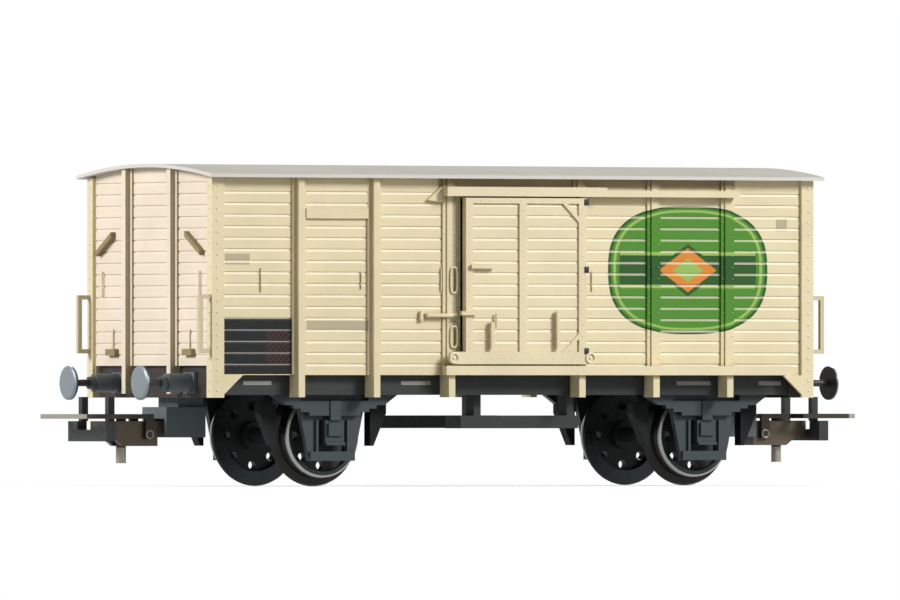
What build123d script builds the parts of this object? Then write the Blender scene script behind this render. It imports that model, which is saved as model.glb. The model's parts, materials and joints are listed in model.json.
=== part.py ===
from build123d import *
import os
from math import sqrt

# Model railway boxcar with two axles and sliding doors, in millimetres.
# +X runs along the wagon, the near side faces -Y and +Z is up. The origin is under the middle of the body,
# level with the lowest points of the wheel flanges.

# Wheelsets
TREAD_RADIUS = 5.5
TREAD_TAPER = 0.15
FLANGE_HEIGHT = 1.0
FLANGE_WIDTH = 0.8
WHEEL_EDGE = 0.2
WHEEL_WIDTH = 2.8
WHEELBASE = 56.0
AXLE_SHIFT = 2.8
AXLE_RADIUS = 1.0
JOURNAL_RADIUS = 0.6
JOURNAL_CLEARANCE = 0.08
TYRE_THICKNESS = 0.75
HUB_RADIUS = 1.8
DISC_THICKNESS = 1.0
DISC_HOLES = 8
DISC_HOLE_RADIUS = 0.55
DISC_HOLE_CIRCLE = 3.8

# Body shell
BODY_WIDTH = 31.2
WALL = 1.2
AXLE_TO_WALL = 7.8
END_WALL_STEP = 1.2
EAVE_ROOM = 1.05
ROOF_RISE = 1.4
ROOF_THICKNESS = 0.45
EAVE_OVERHANG = 1.7
END_OVERHANG = 1.3
BOARD_PITCH = 1.47
GROOVE_HEIGHT = 0.36
GROOVE_DEPTH = 0.15

# Posts and corner angles
JAMB_POST = 9.8
OUTER_BAY = 12.6
POST_FLANGE = 2.0
POST_FLANGE_THICKNESS = 0.25
POST_WEB = 0.95
TALL_POST = 0.9
LOW_POST = 0.45
POST_FOOT = 2.85
END_POST_OFFSET = 5.75
END_POST_PROUD = 0.9
END_POST_FOOT = 2.4
CORNER_SIDE_LEG = 1.8
CORNER_END_LEG = 1.4
CORNER_PROUD = 0.4
CORNER_FOOT = 2.9
GUSSET_LENGTH = 4.2

# Underframe
FLOOR_THICKNESS = 1.0
SOLEBAR_INSET = 1.4
SOLEBAR_THICKNESS = 2.1
SOLEBAR_DEPTH = 2.55
HEADSTOCK_INSET = 0.6
HEADSTOCK_THICKNESS = 1.8
HEADSTOCK_DEPTH = 2.9
SILL_WIDTH = 4.0
SILL_DEPTH = 1.8
SILL_GAP = 1.3
CROSS_MEMBER = 1.2
BALLAST_END_GAP = 12.6
BALLAST_SIDE_GAP = 2.4
BALLAST_THICKNESS = 1.5

# Doors and door rails
DOORWAY_LEFT_INSET = 1.8
DOORWAY_RIGHT_INSET = 0.8
DOOR_OVERLAP = 1.0
DOOR_LAP = 0.1
DOOR_GAP = 0.2
DOOR_HEIGHT = 21.4
DOOR_THICKNESS = 0.65
DOOR_FRAME = 0.25
STILE_WIDTH = 1.1
MIDDLE_STILE_SHIFT = 0.45
TOP_RAIL_WIDTH = 0.7
LEDGER_WIDTH = 1.6
LEDGER_LEFT_REACH = 2.6
LEDGER_RIGHT_REACH = 1.4
BRACE_REACH = 1.7
BRACE_WIDTH = 0.7
HANDLE_PROUD = 0.5
HANDLE_SIZE = 0.5
LOWER_RAIL_HEIGHT = 1.2
LOWER_RAIL_PAST_JAMB = 1.2
LOWER_RAIL_END_GAP = 3.9
HOOD_HEIGHT = 1.2
HOOD_LIP = 0.25
HOOD_LEFT_REACH = 1.2
HOOD_RIGHT_REACH = 3.2
UPPER_RAIL_HEIGHT = 0.85
UPPER_RAIL_PAST_POST = 1.0

# Vent hatches
HATCH_HEIGHT = 5.4
HATCH_LEDGE = 1.3
HATCH_PLATE = 0.25
HATCH_PROUD = 0.4

# Running gear under the solebars
GUARD_THICKNESS = 0.8
GUARD_SHOULDER = 10.4
GUARD_WIDTH_LOW = 6.6
GUARD_DROP = 3.2
GUARD_TIE = 1.2
GUARD_SLOT = 3.9
GUARD_RIB = 0.35
AXLE_BOX_WIDTH = 2.8
AXLE_BOX_BELOW = 1.2
AXLE_BOX_ABOVE = 2.0
AXLE_BOX_ROOM = 0.4
AXLE_BOX_INSIDE = 0.9
AXLE_BOX_PROUD = 0.8
AXLE_BOX_LID = 0.35
AXLE_END_GAP = 0.2
JOURNAL_DEPTH = 1.7
LEAF_WIDTH = 0.9
MAIN_LEAF_LENGTH = 14.8
MAIN_LEAF_THICKNESS = 0.55
# Length and thickness of each leaf under the main leaf
LOWER_LEAVES = ((12.4, 0.45), (10.2, 0.45), (7.6, 0.45))
SADDLE_HEIGHT = 0.6
BUCKLE_WIDTH = 1.5
BUCKLE_PROUD = 0.2
WEDGE_REACH = 1.9
WEDGE_ROOT = 2.4
SHOE_GAP = 0.5
SHOE_TOE = 0.5
SHOE_REACH = 2.4
SHOE_WIDTH = 1.5
SHOE_BELOW = 1.3
SHOE_SHOULDER = 2.9
SHOE_ABOVE = 4.1
SHOE_HANGER = 1.3
SHOE_ROOM = 2.2
STEP_CENTRE = 2.95
STEP_LENGTH = 17.7
STEP_DEPTH = 3.8
STEP_HEIGHT = 1.65
STEP_DROP = 5.2
STEP_HANGER = 1.05
STEP_HANGER_DEPTH = 2.0
STEP_LEFT_INSET = 2.5
STEP_RIGHT_INSET = 1.2

# Buffers
BUFFER_REACH = 7.3
BUFFER_SPACING = 18.4
BUFFER_DROP = 1.0
BUFFER_DISC_RADIUS = 2.2
BUFFER_DISC_THICKNESS = 0.3
BUFFER_CROWN = 0.15
BUFFER_CROWN_ANGLE = 60
BUFFER_ROD_RADIUS = 0.45
BUFFER_COLLAR_RADIUS = 0.8
BUFFER_COLLAR_LENGTH = 0.8
BUFFER_SHANK_RADIUS = 1.2
BUFFER_SHANK_LENGTH = 3.4
BUFFER_BASE = 2.75
BUFFER_BASE_THICKNESS = 0.5

# Fittings on the ends
HANDRAIL_RISE = 2.8
HANDRAIL_LENGTH = 7.5
HANDRAIL_REACH = 1.75
HANDRAIL_SIZE = 0.55
HANDRAIL_INSET = 0.2
GRAB_FROM_SIDE = 2.3
GRAB_SPAN = 3.9
GRAB_LOW = 15.3
GRAB_HIGH = 17.7
GRAB_SIZE = 0.7
LAMP_OFFSET = 9.8
LAMP_RISE = 2.5
LAMP_WIDTH = 2.4
LAMP_HEIGHT = 0.85
LAMP_PROUD = 0.6

# Couplers, lengths measured outwards from the end wall
PIVOT_INSIDE = 4.4
PIVOT_RADIUS = 0.7
PIVOT_CLEARANCE = 0.08
SHANK_WIDTH = 3.2
SHANK_HEIGHT = 3.2
SHANK_DROP = 5.9
TONGUE_HEIGHT = 1.7
CHEEK_START = 0.1
CHEEK_END = 6.4
CHEEK_SLOPE = 1.2
NECK_RISE = 0.9
HEAD_START = 8.2
HEAD_THICKNESS = 1.4
HEAD_WIDTH = 9.8
HEAD_STEP = 0.6
HEAD_NOTCH_WIDTH = 5.0
HEAD_NOTCH_DEPTH = 1.1
HORN_OFFSET = 3.4
HORN_SIZE = 0.9
HORN_HEIGHT = 3.1
POCKET_MOUTH = 0.35
POCKET_LENGTH = 5.8
POCKET_WALL = 0.6
POCKET_INNER = 2.5
POCKET_SKIRT = 2.1
POCKET_ROOF = 1.5
SHANK_GAP = 0.3
BAIL_GAP = 0.3
BAIL_BACK = 5.6
BAIL_REACH = 13.5
BAIL_WIDTH = 10.4
BAIL_BAR = 0.8
BAIL_THICKNESS = 0.6
BAIL_PIN_OUTSIDE = 1.6
BAIL_PIN_RISE = 1.5
BAIL_PIN_RADIUS = 0.45
BAIL_PIN_CLEARANCE = 0.08
LUG_GAP = 0.15
LUG_THICKNESS = 0.5
LUG_WIDTH = 1.2
TRIP_PIN_OUTSIDE = 4.6
TRIP_PIN_RADIUS = 0.65
TRIP_PIN_LENGTH = 2.2
TRIP_SLOT_BACK = 0.7
TRIP_SLOT_FRONT = 1.0
TRIP_SLOT_SIDE = 0.2

# Levels
AXLE_HEIGHT = TREAD_RADIUS + FLANGE_HEIGHT
FLANGE_RADIUS = TREAD_RADIUS + FLANGE_HEIGHT
WALL_FOOT = AXLE_HEIGHT + AXLE_TO_WALL
END_WALL_FOOT = WALL_FOOT + END_WALL_STEP
FLOOR_TOP = WALL_FOOT + FLOOR_THICKNESS
SOLEBAR_FOOT = WALL_FOOT - SOLEBAR_DEPTH
HEADSTOCK_FOOT = WALL_FOOT - HEADSTOCK_DEPTH
LOWER_RAIL_TOP = WALL_FOOT + LOWER_RAIL_HEIGHT
DOOR_FOOT = LOWER_RAIL_TOP + DOOR_GAP
DOOR_TOP = DOOR_FOOT + DOOR_HEIGHT
HOOD_FOOT = DOOR_TOP + DOOR_GAP
HOOD_TOP = HOOD_FOOT + HOOD_HEIGHT
EAVE_HEIGHT = HOOD_TOP + EAVE_ROOM
BUFFER_HEIGHT = WALL_FOOT - BUFFER_DROP
SHANK_TOP = WALL_FOOT - SHANK_DROP
SHANK_FOOT = SHANK_TOP - SHANK_HEIGHT
TONGUE_FOOT = SHANK_TOP - TONGUE_HEIGHT
POCKET_CEILING = SHANK_TOP + SHANK_GAP
POCKET_TOP = POCKET_CEILING + POCKET_ROOF
BAIL_FOOT = SHANK_TOP + BAIL_GAP
BAIL_PIN_HEIGHT = SHANK_FOOT + BAIL_PIN_RISE
AXLE_BOX_TOP = AXLE_HEIGHT + AXLE_BOX_ABOVE
STEP_TOP = WALL_FOOT - STEP_DROP
STEP_FOOT = STEP_TOP - STEP_HEIGHT

# Distances from the middle of the wagon
HEADSTOCK_BACK_INSET = HEADSTOCK_INSET + HEADSTOCK_THICKNESS
SHOE_END = FLANGE_RADIUS + SHOE_GAP + SHOE_REACH
AXLE_TO_RIGHT_END = SHOE_END + SHOE_ROOM + HEADSTOCK_BACK_INSET
BODY_LENGTH = WHEELBASE + 2 * (AXLE_TO_RIGHT_END + AXLE_SHIFT)
HALF_LENGTH = BODY_LENGTH / 2
HALF_WIDTH = BODY_WIDTH / 2
SOLEBAR_FACE = HALF_WIDTH - SOLEBAR_INSET
SOLEBAR_BACK = SOLEBAR_FACE - SOLEBAR_THICKNESS
GUARD_BACK = SOLEBAR_BACK - GUARD_THICKNESS
AXLE_BOX_BACK = GUARD_BACK - AXLE_BOX_INSIDE
WHEEL_FACE = AXLE_BOX_BACK - AXLE_BOX_ROOM
WHEEL_BACK = WHEEL_FACE - WHEEL_WIDTH
INNER_LENGTH = BODY_LENGTH - 2 * WALL
INNER_WIDTH = BODY_WIDTH - 2 * WALL
ROOF_HALF_WIDTH = HALF_WIDTH + EAVE_OVERHANG
ROOF_RADIUS = (ROOF_HALF_WIDTH**2 + ROOF_RISE**2) / (2 * ROOF_RISE)
OUTER_POST = HALF_LENGTH - OUTER_BAY
MIDDLE_POST = (JAMB_POST + OUTER_POST) / 2
HEADSTOCK_FACE = HALF_LENGTH - HEADSTOCK_INSET
DOOR_BACK = HALF_WIDTH + LOW_POST + DOOR_GAP
DOOR_FACE = DOOR_BACK + DOOR_THICKNESS
FRAME_FACE = DOOR_FACE + DOOR_FRAME
OPENING_LEFT = JAMB_POST - DOORWAY_LEFT_INSET
OPENING_RIGHT = JAMB_POST - DOORWAY_RIGHT_INSET
DOOR_LEFT = OPENING_LEFT + DOOR_LAP
DOOR_RIGHT = OPENING_RIGHT + DOOR_OVERLAP
DOOR_WIDTH = DOOR_LEFT + DOOR_RIGHT
DOOR_CENTRE = (DOOR_RIGHT - DOOR_LEFT) / 2
TYRE_INNER = TREAD_RADIUS - TREAD_TAPER - TYRE_THICKNESS
BUFFER_FACE = HALF_LENGTH + BUFFER_REACH
AXLES = (("left", AXLE_SHIFT - WHEELBASE / 2), ("right", AXLE_SHIFT + WHEELBASE / 2))
SIDES = (("near", -1), ("far", 1))
ENDS = (("left", -1), ("right", 1))


def roof_underside(across):
    """Height of the roof's underside at a distance from the centre line."""
    return EAVE_HEIGHT + ROOF_RISE - ROOF_RADIUS + sqrt(ROOF_RADIUS**2 - across**2)


def side_plane(side, depth):
    """Upright plane facing out of one side: local x to the right as seen from there, local y up."""
    return Plane(origin=(0, side * depth, 0), x_dir=(-side, 0, 0), z_dir=(0, side, 0))


def end_plane(end, depth):
    """Upright plane facing out of one end: local x to the right as seen from there, local y up."""
    return Plane(origin=(end * depth, 0, 0), x_dir=(0, end, 0), z_dir=(end, 0, 0))


def bar(left, right, foot, top):
    """Add a rectangle between four limits to the sketch being drawn."""
    with Locations(((left + right) / 2, (foot + top) / 2)):
        Rectangle(right - left, top - foot)


def board_tops(foot, top):
    """Heights of the joints between boards, leaving the top board at least half a board high."""
    joints = int((top - foot) / BOARD_PITCH - 0.5)
    return [foot + BOARD_PITCH * (index + 1) for index in range(joints)]


def groove(face, outward, height):
    """Add one board joint to the sketch: level under the upper board, sloping up to it from the lower one."""
    root = (face - outward * GROOVE_DEPTH, height)
    Polygon((face, height), root, (face, height - GROOVE_HEIGHT), align=None)


def save(builder, name):
    """Label one finished piece and write it."""
    builder.part.label = name
    export_step(builder.part, f"parts/{name}.step")


os.makedirs("parts", exist_ok=True)

# Floor between the walls, with the ballast plate on it
with BuildPart() as floor:
    with BuildSketch(Plane.XY.offset(WALL_FOOT)):
        Rectangle(INNER_LENGTH, INNER_WIDTH)
    extrude(amount=FLOOR_THICKNESS)
save(floor, "floor")

with BuildPart() as ballast:
    with BuildSketch(Plane.XY.offset(FLOOR_TOP)):
        Rectangle(INNER_LENGTH - 2 * BALLAST_END_GAP, INNER_WIDTH - 2 * BALLAST_SIDE_GAP)
    extrude(amount=BALLAST_THICKNESS)
save(ballast, "ballast_weight")

# Headstocks across the ends, a little inside the end walls and rising to their foot
for end_name, end in ENDS:
    with BuildPart() as headstock:
        with BuildSketch(end_plane(end, HEADSTOCK_FACE)):
            bar(-INNER_WIDTH / 2, INNER_WIDTH / 2, HEADSTOCK_FOOT, WALL_FOOT)
        extrude(amount=-HEADSTOCK_THICKNESS)
        with BuildSketch(end_plane(end, HEADSTOCK_FACE)):
            bar(-INNER_WIDTH / 2, INNER_WIDTH / 2, WALL_FOOT, END_WALL_FOOT)
        extrude(amount=HEADSTOCK_INSET - WALL)
    save(headstock, f"headstock_{end_name}")

# Solebars along the sides, and the sill and cross members between them
SOLEBAR_HALF_LENGTH = HALF_LENGTH - HEADSTOCK_BACK_INSET
with BuildPart() as solebars:
    for side_name, side in SIDES:
        with BuildSketch(side_plane(side, SOLEBAR_FACE)):
            bar(-SOLEBAR_HALF_LENGTH, SOLEBAR_HALF_LENGTH, SOLEBAR_FOOT, WALL_FOOT)
        extrude(amount=-SOLEBAR_THICKNESS)
save(solebars, "solebars")

SILL_HALF_LENGTH = HALF_LENGTH - POCKET_MOUTH - POCKET_LENGTH - SILL_GAP
with BuildPart() as cross_members:
    with BuildSketch(Plane.XY.offset(WALL_FOOT - SILL_DEPTH)):
        bar(-SILL_HALF_LENGTH, SILL_HALF_LENGTH, -SILL_WIDTH / 2, SILL_WIDTH / 2)
        for place in (AXLE_SHIFT - WHEELBASE / 4, AXLE_SHIFT + WHEELBASE / 4):
            bar(place - CROSS_MEMBER / 2, place + CROSS_MEMBER / 2, -SOLEBAR_BACK, SOLEBAR_BACK)
    extrude(amount=SILL_DEPTH)
save(cross_members, "cross_members")

# Side walls of boards, each with a doorway
WALL_TOP = roof_underside(HALF_WIDTH)
for side_name, side in SIDES:
    with BuildPart() as side_wall:
        with BuildSketch(side_plane(side, HALF_WIDTH)):
            bar(-HALF_LENGTH, HALF_LENGTH, WALL_FOOT, WALL_TOP)
        extrude(amount=-WALL)
        with BuildSketch(side_plane(side, HALF_WIDTH)):
            bar(-OPENING_LEFT, OPENING_RIGHT, DOOR_FOOT, DOOR_TOP)
        extrude(amount=-WALL, mode=Mode.SUBTRACT)
        with BuildSketch(Plane.YZ.offset(-HALF_LENGTH)):
            for height in board_tops(WALL_FOOT, WALL_TOP):
                groove(side * HALF_WIDTH, side, height)
        extrude(amount=BODY_LENGTH, mode=Mode.SUBTRACT)
    save(side_wall, f"side_wall_{side_name}")

# End walls of boards between the side walls, arched under the roof
for end_name, end in ENDS:
    with BuildPart() as end_wall:
        half = INNER_WIDTH / 2
        shoulder = roof_underside(half)
        with BuildSketch(end_plane(end, HALF_LENGTH)):
            with BuildLine():
                Polyline((half, shoulder), (half, END_WALL_FOOT), (-half, END_WALL_FOOT), (-half, shoulder))
                ThreePointArc((-half, shoulder), (0, roof_underside(0)), (half, shoulder))
            make_face()
        extrude(amount=-WALL)
        with BuildSketch(Plane.XZ.offset(-HALF_WIDTH)):
            for height in board_tops(END_WALL_FOOT, shoulder):
                groove(end * HALF_LENGTH, end, height)
        extrude(amount=BODY_WIDTH, mode=Mode.SUBTRACT)
    save(end_wall, f"end_wall_{end_name}")

# Roof, one low arch
ROOF_HALF_LENGTH = HALF_LENGTH + END_OVERHANG
with BuildPart() as roof:
    with BuildSketch(Plane.YZ.offset(-ROOF_HALF_LENGTH)):
        with BuildLine():
            eave_top = EAVE_HEIGHT + ROOF_THICKNESS
            crown = EAVE_HEIGHT + ROOF_RISE
            ThreePointArc((-ROOF_HALF_WIDTH, EAVE_HEIGHT), (0, crown), (ROOF_HALF_WIDTH, EAVE_HEIGHT))
            Line((ROOF_HALF_WIDTH, EAVE_HEIGHT), (ROOF_HALF_WIDTH, eave_top))
            ThreePointArc((ROOF_HALF_WIDTH, eave_top), (0, crown + ROOF_THICKNESS),
                          (-ROOF_HALF_WIDTH, eave_top))
            Line((-ROOF_HALF_WIDTH, eave_top), (-ROOF_HALF_WIDTH, EAVE_HEIGHT))
        make_face()
    extrude(amount=2 * ROOF_HALF_LENGTH)
save(roof, "roof")

# Side posts with a foot over the solebar: tall left of the door, low where the door rails cross them
POSTS = (
    (-OUTER_POST, TALL_POST),
    (-MIDDLE_POST, TALL_POST),
    (-JAMB_POST, LOW_POST),
    (JAMB_POST, LOW_POST),
    (MIDDLE_POST, LOW_POST),
    (OUTER_POST, LOW_POST),
)
for side_name, side in SIDES:
    with BuildPart() as side_posts:
        for place, proud in POSTS:
            post_top = roof_underside(HALF_WIDTH + proud)
            with BuildSketch(side_plane(side, HALF_WIDTH)):
                bar(place - POST_FLANGE / 2, place + POST_FLANGE / 2, WALL_FOOT, post_top)
            extrude(amount=POST_FLANGE_THICKNESS)
            with BuildSketch(side_plane(side, HALF_WIDTH)):
                bar(place - POST_WEB / 2, place + POST_WEB / 2, WALL_FOOT, post_top)
            extrude(amount=proud)
            with BuildSketch(side_plane(side, SOLEBAR_FACE)):
                bar(place - POST_WEB / 2, place + POST_WEB / 2, WALL_FOOT - POST_FOOT, WALL_FOOT)
            extrude(amount=HALF_WIDTH + TALL_POST - SOLEBAR_FACE)
    save(side_posts, f"side_posts_{side_name}")

# End posts with a foot over the headstock
END_POST_TOP = roof_underside(END_POST_OFFSET + POST_FLANGE / 2)
for end_name, end in ENDS:
    with BuildPart() as end_posts:
        for place in (-END_POST_OFFSET, END_POST_OFFSET):
            with BuildSketch(end_plane(end, HALF_LENGTH)):
                bar(place - POST_FLANGE / 2, place + POST_FLANGE / 2, END_WALL_FOOT, END_POST_TOP)
            extrude(amount=POST_FLANGE_THICKNESS)
            with BuildSketch(end_plane(end, HALF_LENGTH)):
                bar(place - POST_WEB / 2, place + POST_WEB / 2, END_WALL_FOOT, END_POST_TOP)
            extrude(amount=END_POST_PROUD)
            with BuildSketch(end_plane(end, HEADSTOCK_FACE)):
                bar(place - POST_WEB / 2, place + POST_WEB / 2, WALL_FOOT - END_POST_FOOT, END_WALL_FOOT)
            extrude(amount=HEADSTOCK_INSET + END_POST_PROUD)
    save(end_posts, f"end_posts_{end_name}")

# Corner angles, each with a gusset under the side wall
CORNER_TOP = roof_underside(HALF_WIDTH + CORNER_PROUD)
with BuildPart() as corner_posts:
    for side_name, side in SIDES:
        for end_name, end in ENDS:
            outer_x = end * (HALF_LENGTH + CORNER_PROUD)
            outer_y = side * (HALF_WIDTH + CORNER_PROUD)
            leg_x = outer_x - end * CORNER_SIDE_LEG
            leg_y = outer_y - side * CORNER_END_LEG
            with BuildSketch(Plane.XY.offset(WALL_FOOT - CORNER_FOOT)):
                with BuildLine():
                    Polyline((outer_x, outer_y), (leg_x, outer_y), (leg_x, side * HALF_WIDTH),
                             (end * HALF_LENGTH, side * HALF_WIDTH), (end * HALF_LENGTH, leg_y),
                             (outer_x, leg_y), close=True)
                make_face()
            extrude(amount=CORNER_TOP - WALL_FOOT + CORNER_FOOT)
            hand = -side * end
            gusset_root = hand * (HALF_LENGTH - CORNER_SIDE_LEG / 2)
            gusset_tip = hand * (HALF_LENGTH - GUSSET_LENGTH)
            with BuildSketch(side_plane(side, HALF_WIDTH + CORNER_PROUD)):
                with BuildLine():
                    Polyline((gusset_root, WALL_FOOT - CORNER_FOOT), (gusset_tip, WALL_FOOT),
                             (gusset_root, WALL_FOOT), close=True)
                make_face()
            extrude(amount=-CORNER_PROUD)
save(corner_posts, "corner_posts")

# A vent hatch high in one bay of each side, clear of the sliding door, a plate over a ledge
HATCH_INNER = MIDDLE_POST + POST_FLANGE / 2
HATCH_OUTER = OUTER_POST - POST_FLANGE / 2
HATCH_TOP = roof_underside(HALF_WIDTH + HATCH_PROUD)
HATCH_FOOT = HATCH_TOP - HATCH_HEIGHT
with BuildPart() as vent_hatches:
    for side_name, side in SIDES:
        with BuildSketch(side_plane(side, HALF_WIDTH)):
            bar(-HATCH_OUTER, -HATCH_INNER, HATCH_FOOT + HATCH_LEDGE, HATCH_TOP)
        extrude(amount=HATCH_PLATE)
        with BuildSketch(side_plane(side, HALF_WIDTH)):
            bar(-HATCH_OUTER, -HATCH_INNER, HATCH_FOOT, HATCH_FOOT + HATCH_LEDGE)
        extrude(amount=HATCH_PROUD)
        with BuildSketch(Plane.YZ.offset(-HALF_LENGTH)):
            for height in board_tops(WALL_FOOT, WALL_TOP):
                if HATCH_FOOT + HATCH_LEDGE + GROOVE_HEIGHT < height < HATCH_TOP:
                    groove(side * (HALF_WIDTH + HATCH_PLATE), side, height)
        extrude(amount=BODY_LENGTH, mode=Mode.SUBTRACT)
save(vent_hatches, "vent_hatches")

# Door rails on the low posts: a hooded rail above, a ledge below
RAIL_BACK = HALF_WIDTH + LOW_POST
RAIL_DEPTH = FRAME_FACE - RAIL_BACK
HOOD_RIGHT = JAMB_POST + HOOD_RIGHT_REACH
for side_name, side in SIDES:
    with BuildPart() as upper_rail:
        with BuildSketch(side_plane(side, RAIL_BACK)):
            bar(-JAMB_POST - HOOD_LEFT_REACH, HOOD_RIGHT, HOOD_FOOT, HOOD_TOP)
        extrude(amount=RAIL_DEPTH + HOOD_LIP)
        with BuildSketch(side_plane(side, RAIL_BACK)):
            bar(HOOD_RIGHT, OUTER_POST + UPPER_RAIL_PAST_POST, HOOD_FOOT, HOOD_FOOT + UPPER_RAIL_HEIGHT)
        extrude(amount=RAIL_DEPTH)
    save(upper_rail, f"upper_door_rail_{side_name}")
    with BuildPart() as lower_rail:
        with BuildSketch(side_plane(side, RAIL_BACK)):
            bar(-JAMB_POST - LOWER_RAIL_PAST_JAMB, HALF_LENGTH - LOWER_RAIL_END_GAP,
                WALL_FOOT, LOWER_RAIL_TOP)
        extrude(amount=RAIL_DEPTH)
    save(lower_rail, f"lower_door_rail_{side_name}")

# Sliding doors: boards, then a frame of stiles, top rail, braces and a ledger, then handles and latch
LEDGER_HEIGHT = DOOR_FOOT + LEDGER_WIDTH / 2
LEDGER_CENTRE = DOOR_CENTRE + (LEDGER_RIGHT_REACH - LEDGER_LEFT_REACH) / 2
BRACE_ROOT = DOOR_RIGHT - STILE_WIDTH
MIDDLE_STILE = DOOR_CENTRE - MIDDLE_STILE_SHIFT - STILE_WIDTH / 2
STILES = (-DOOR_LEFT, MIDDLE_STILE, DOOR_RIGHT - STILE_WIDTH)
# Each bar: left and right from the door's left edge, foot and top from the door's foot
DOOR_BARS = (
    (0.6, 4.2, 12.3, 12.3 + HANDLE_SIZE),
    (3.5, 3.5 + HANDLE_SIZE, 2.0, 5.4),
    (13.4, 13.4 + HANDLE_SIZE, 2.0, 6.8),
    (-0.9, 1.6, 6.3, 6.3 + HANDLE_SIZE),
)
for side_name, side in SIDES:
    with BuildPart() as door_panel:
        with BuildSketch(side_plane(side, DOOR_BACK)):
            bar(-DOOR_LEFT, DOOR_RIGHT, DOOR_FOOT, DOOR_TOP)
        extrude(amount=DOOR_THICKNESS)
        with BuildSketch(Plane.YZ.offset(-HALF_LENGTH)):
            for height in board_tops(WALL_FOOT, WALL_TOP):
                if DOOR_FOOT + GROOVE_HEIGHT < height < DOOR_TOP:
                    groove(side * DOOR_FACE, side, height)
        extrude(amount=BODY_LENGTH, mode=Mode.SUBTRACT)
    save(door_panel, f"door_panel_{side_name}")
    with BuildPart() as door_frame:
        with BuildSketch(side_plane(side, DOOR_FACE)):
            for left in STILES:
                bar(left, left + STILE_WIDTH, DOOR_FOOT, DOOR_TOP)
            bar(-DOOR_LEFT, DOOR_RIGHT, DOOR_TOP - TOP_RAIL_WIDTH, DOOR_TOP)
            for root, lean in ((DOOR_TOP - TOP_RAIL_WIDTH, -1), (DOOR_FOOT + LEDGER_WIDTH, 1)):
                with BuildLine():
                    Polyline((BRACE_ROOT, root + lean * BRACE_REACH),
                             (BRACE_ROOT, root + lean * (BRACE_REACH + BRACE_WIDTH)),
                             (BRACE_ROOT - BRACE_REACH - BRACE_WIDTH, root), (BRACE_ROOT - BRACE_REACH, root),
                             close=True)
                make_face()
            with Locations((LEDGER_CENTRE, LEDGER_HEIGHT)):
                SlotOverall(DOOR_WIDTH + LEDGER_LEFT_REACH + LEDGER_RIGHT_REACH, LEDGER_WIDTH)
        extrude(amount=DOOR_FRAME)
    save(door_frame, f"door_frame_{side_name}")
    with BuildPart() as door_handles:
        with BuildSketch(side_plane(side, FRAME_FACE)):
            for left, right, foot, top in DOOR_BARS:
                bar(left - DOOR_LEFT, right - DOOR_LEFT, foot + DOOR_FOOT, top + DOOR_FOOT)
        extrude(amount=HANDLE_PROUD)
    save(door_handles, f"door_handles_{side_name}")

# Buffers: square base, round housing and collar, then rod and crowned disc
BUFFER_PLACES = tuple((end, hand * BUFFER_SPACING / 2) for end_name, end in ENDS for hand in (-1, 1))
BUFFER_SHANK_START = HEADSTOCK_FACE + BUFFER_BASE_THICKNESS
BUFFER_COLLAR_START = BUFFER_SHANK_START + BUFFER_SHANK_LENGTH
BUFFER_ROD_START = BUFFER_COLLAR_START + BUFFER_COLLAR_LENGTH
BUFFER_DISC_BACK = BUFFER_FACE - BUFFER_CROWN - BUFFER_DISC_THICKNESS
with BuildPart() as buffer_housings:
    for end, place in BUFFER_PLACES:
        with BuildSketch(end_plane(end, HEADSTOCK_FACE)):
            with Locations((place, BUFFER_HEIGHT)):
                Rectangle(BUFFER_BASE, BUFFER_BASE)
        extrude(amount=BUFFER_BASE_THICKNESS)
        with BuildSketch(end_plane(end, BUFFER_SHANK_START)):
            with Locations((place, BUFFER_HEIGHT)):
                Circle(BUFFER_SHANK_RADIUS)
        extrude(amount=BUFFER_SHANK_LENGTH)
        with BuildSketch(end_plane(end, BUFFER_COLLAR_START)):
            with Locations((place, BUFFER_HEIGHT)):
                Circle(BUFFER_COLLAR_RADIUS)
        extrude(amount=BUFFER_COLLAR_LENGTH)
save(buffer_housings, "buffer_housings")

with BuildPart() as buffer_heads:
    for end, place in BUFFER_PLACES:
        with BuildSketch(end_plane(end, BUFFER_ROD_START)):
            with Locations((place, BUFFER_HEIGHT)):
                Circle(BUFFER_ROD_RADIUS)
        extrude(amount=BUFFER_DISC_BACK - BUFFER_ROD_START)
        with BuildSketch(end_plane(end, BUFFER_DISC_BACK)):
            with Locations((place, BUFFER_HEIGHT)):
                Circle(BUFFER_DISC_RADIUS)
        extrude(amount=BUFFER_DISC_THICKNESS)
        with BuildSketch(end_plane(end, BUFFER_FACE - BUFFER_CROWN)):
            with Locations((place, BUFFER_HEIGHT)):
                Circle(BUFFER_DISC_RADIUS)
        extrude(amount=BUFFER_CROWN, taper=BUFFER_CROWN_ANGLE)
save(buffer_heads, "buffer_heads")

# Where each of the four axle boxes stands: side, and place along that side's plane
AXLE_PLACES = tuple((side, -side * axle_x) for side_name, side in SIDES for axle_name, axle_x in AXLES)

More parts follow.
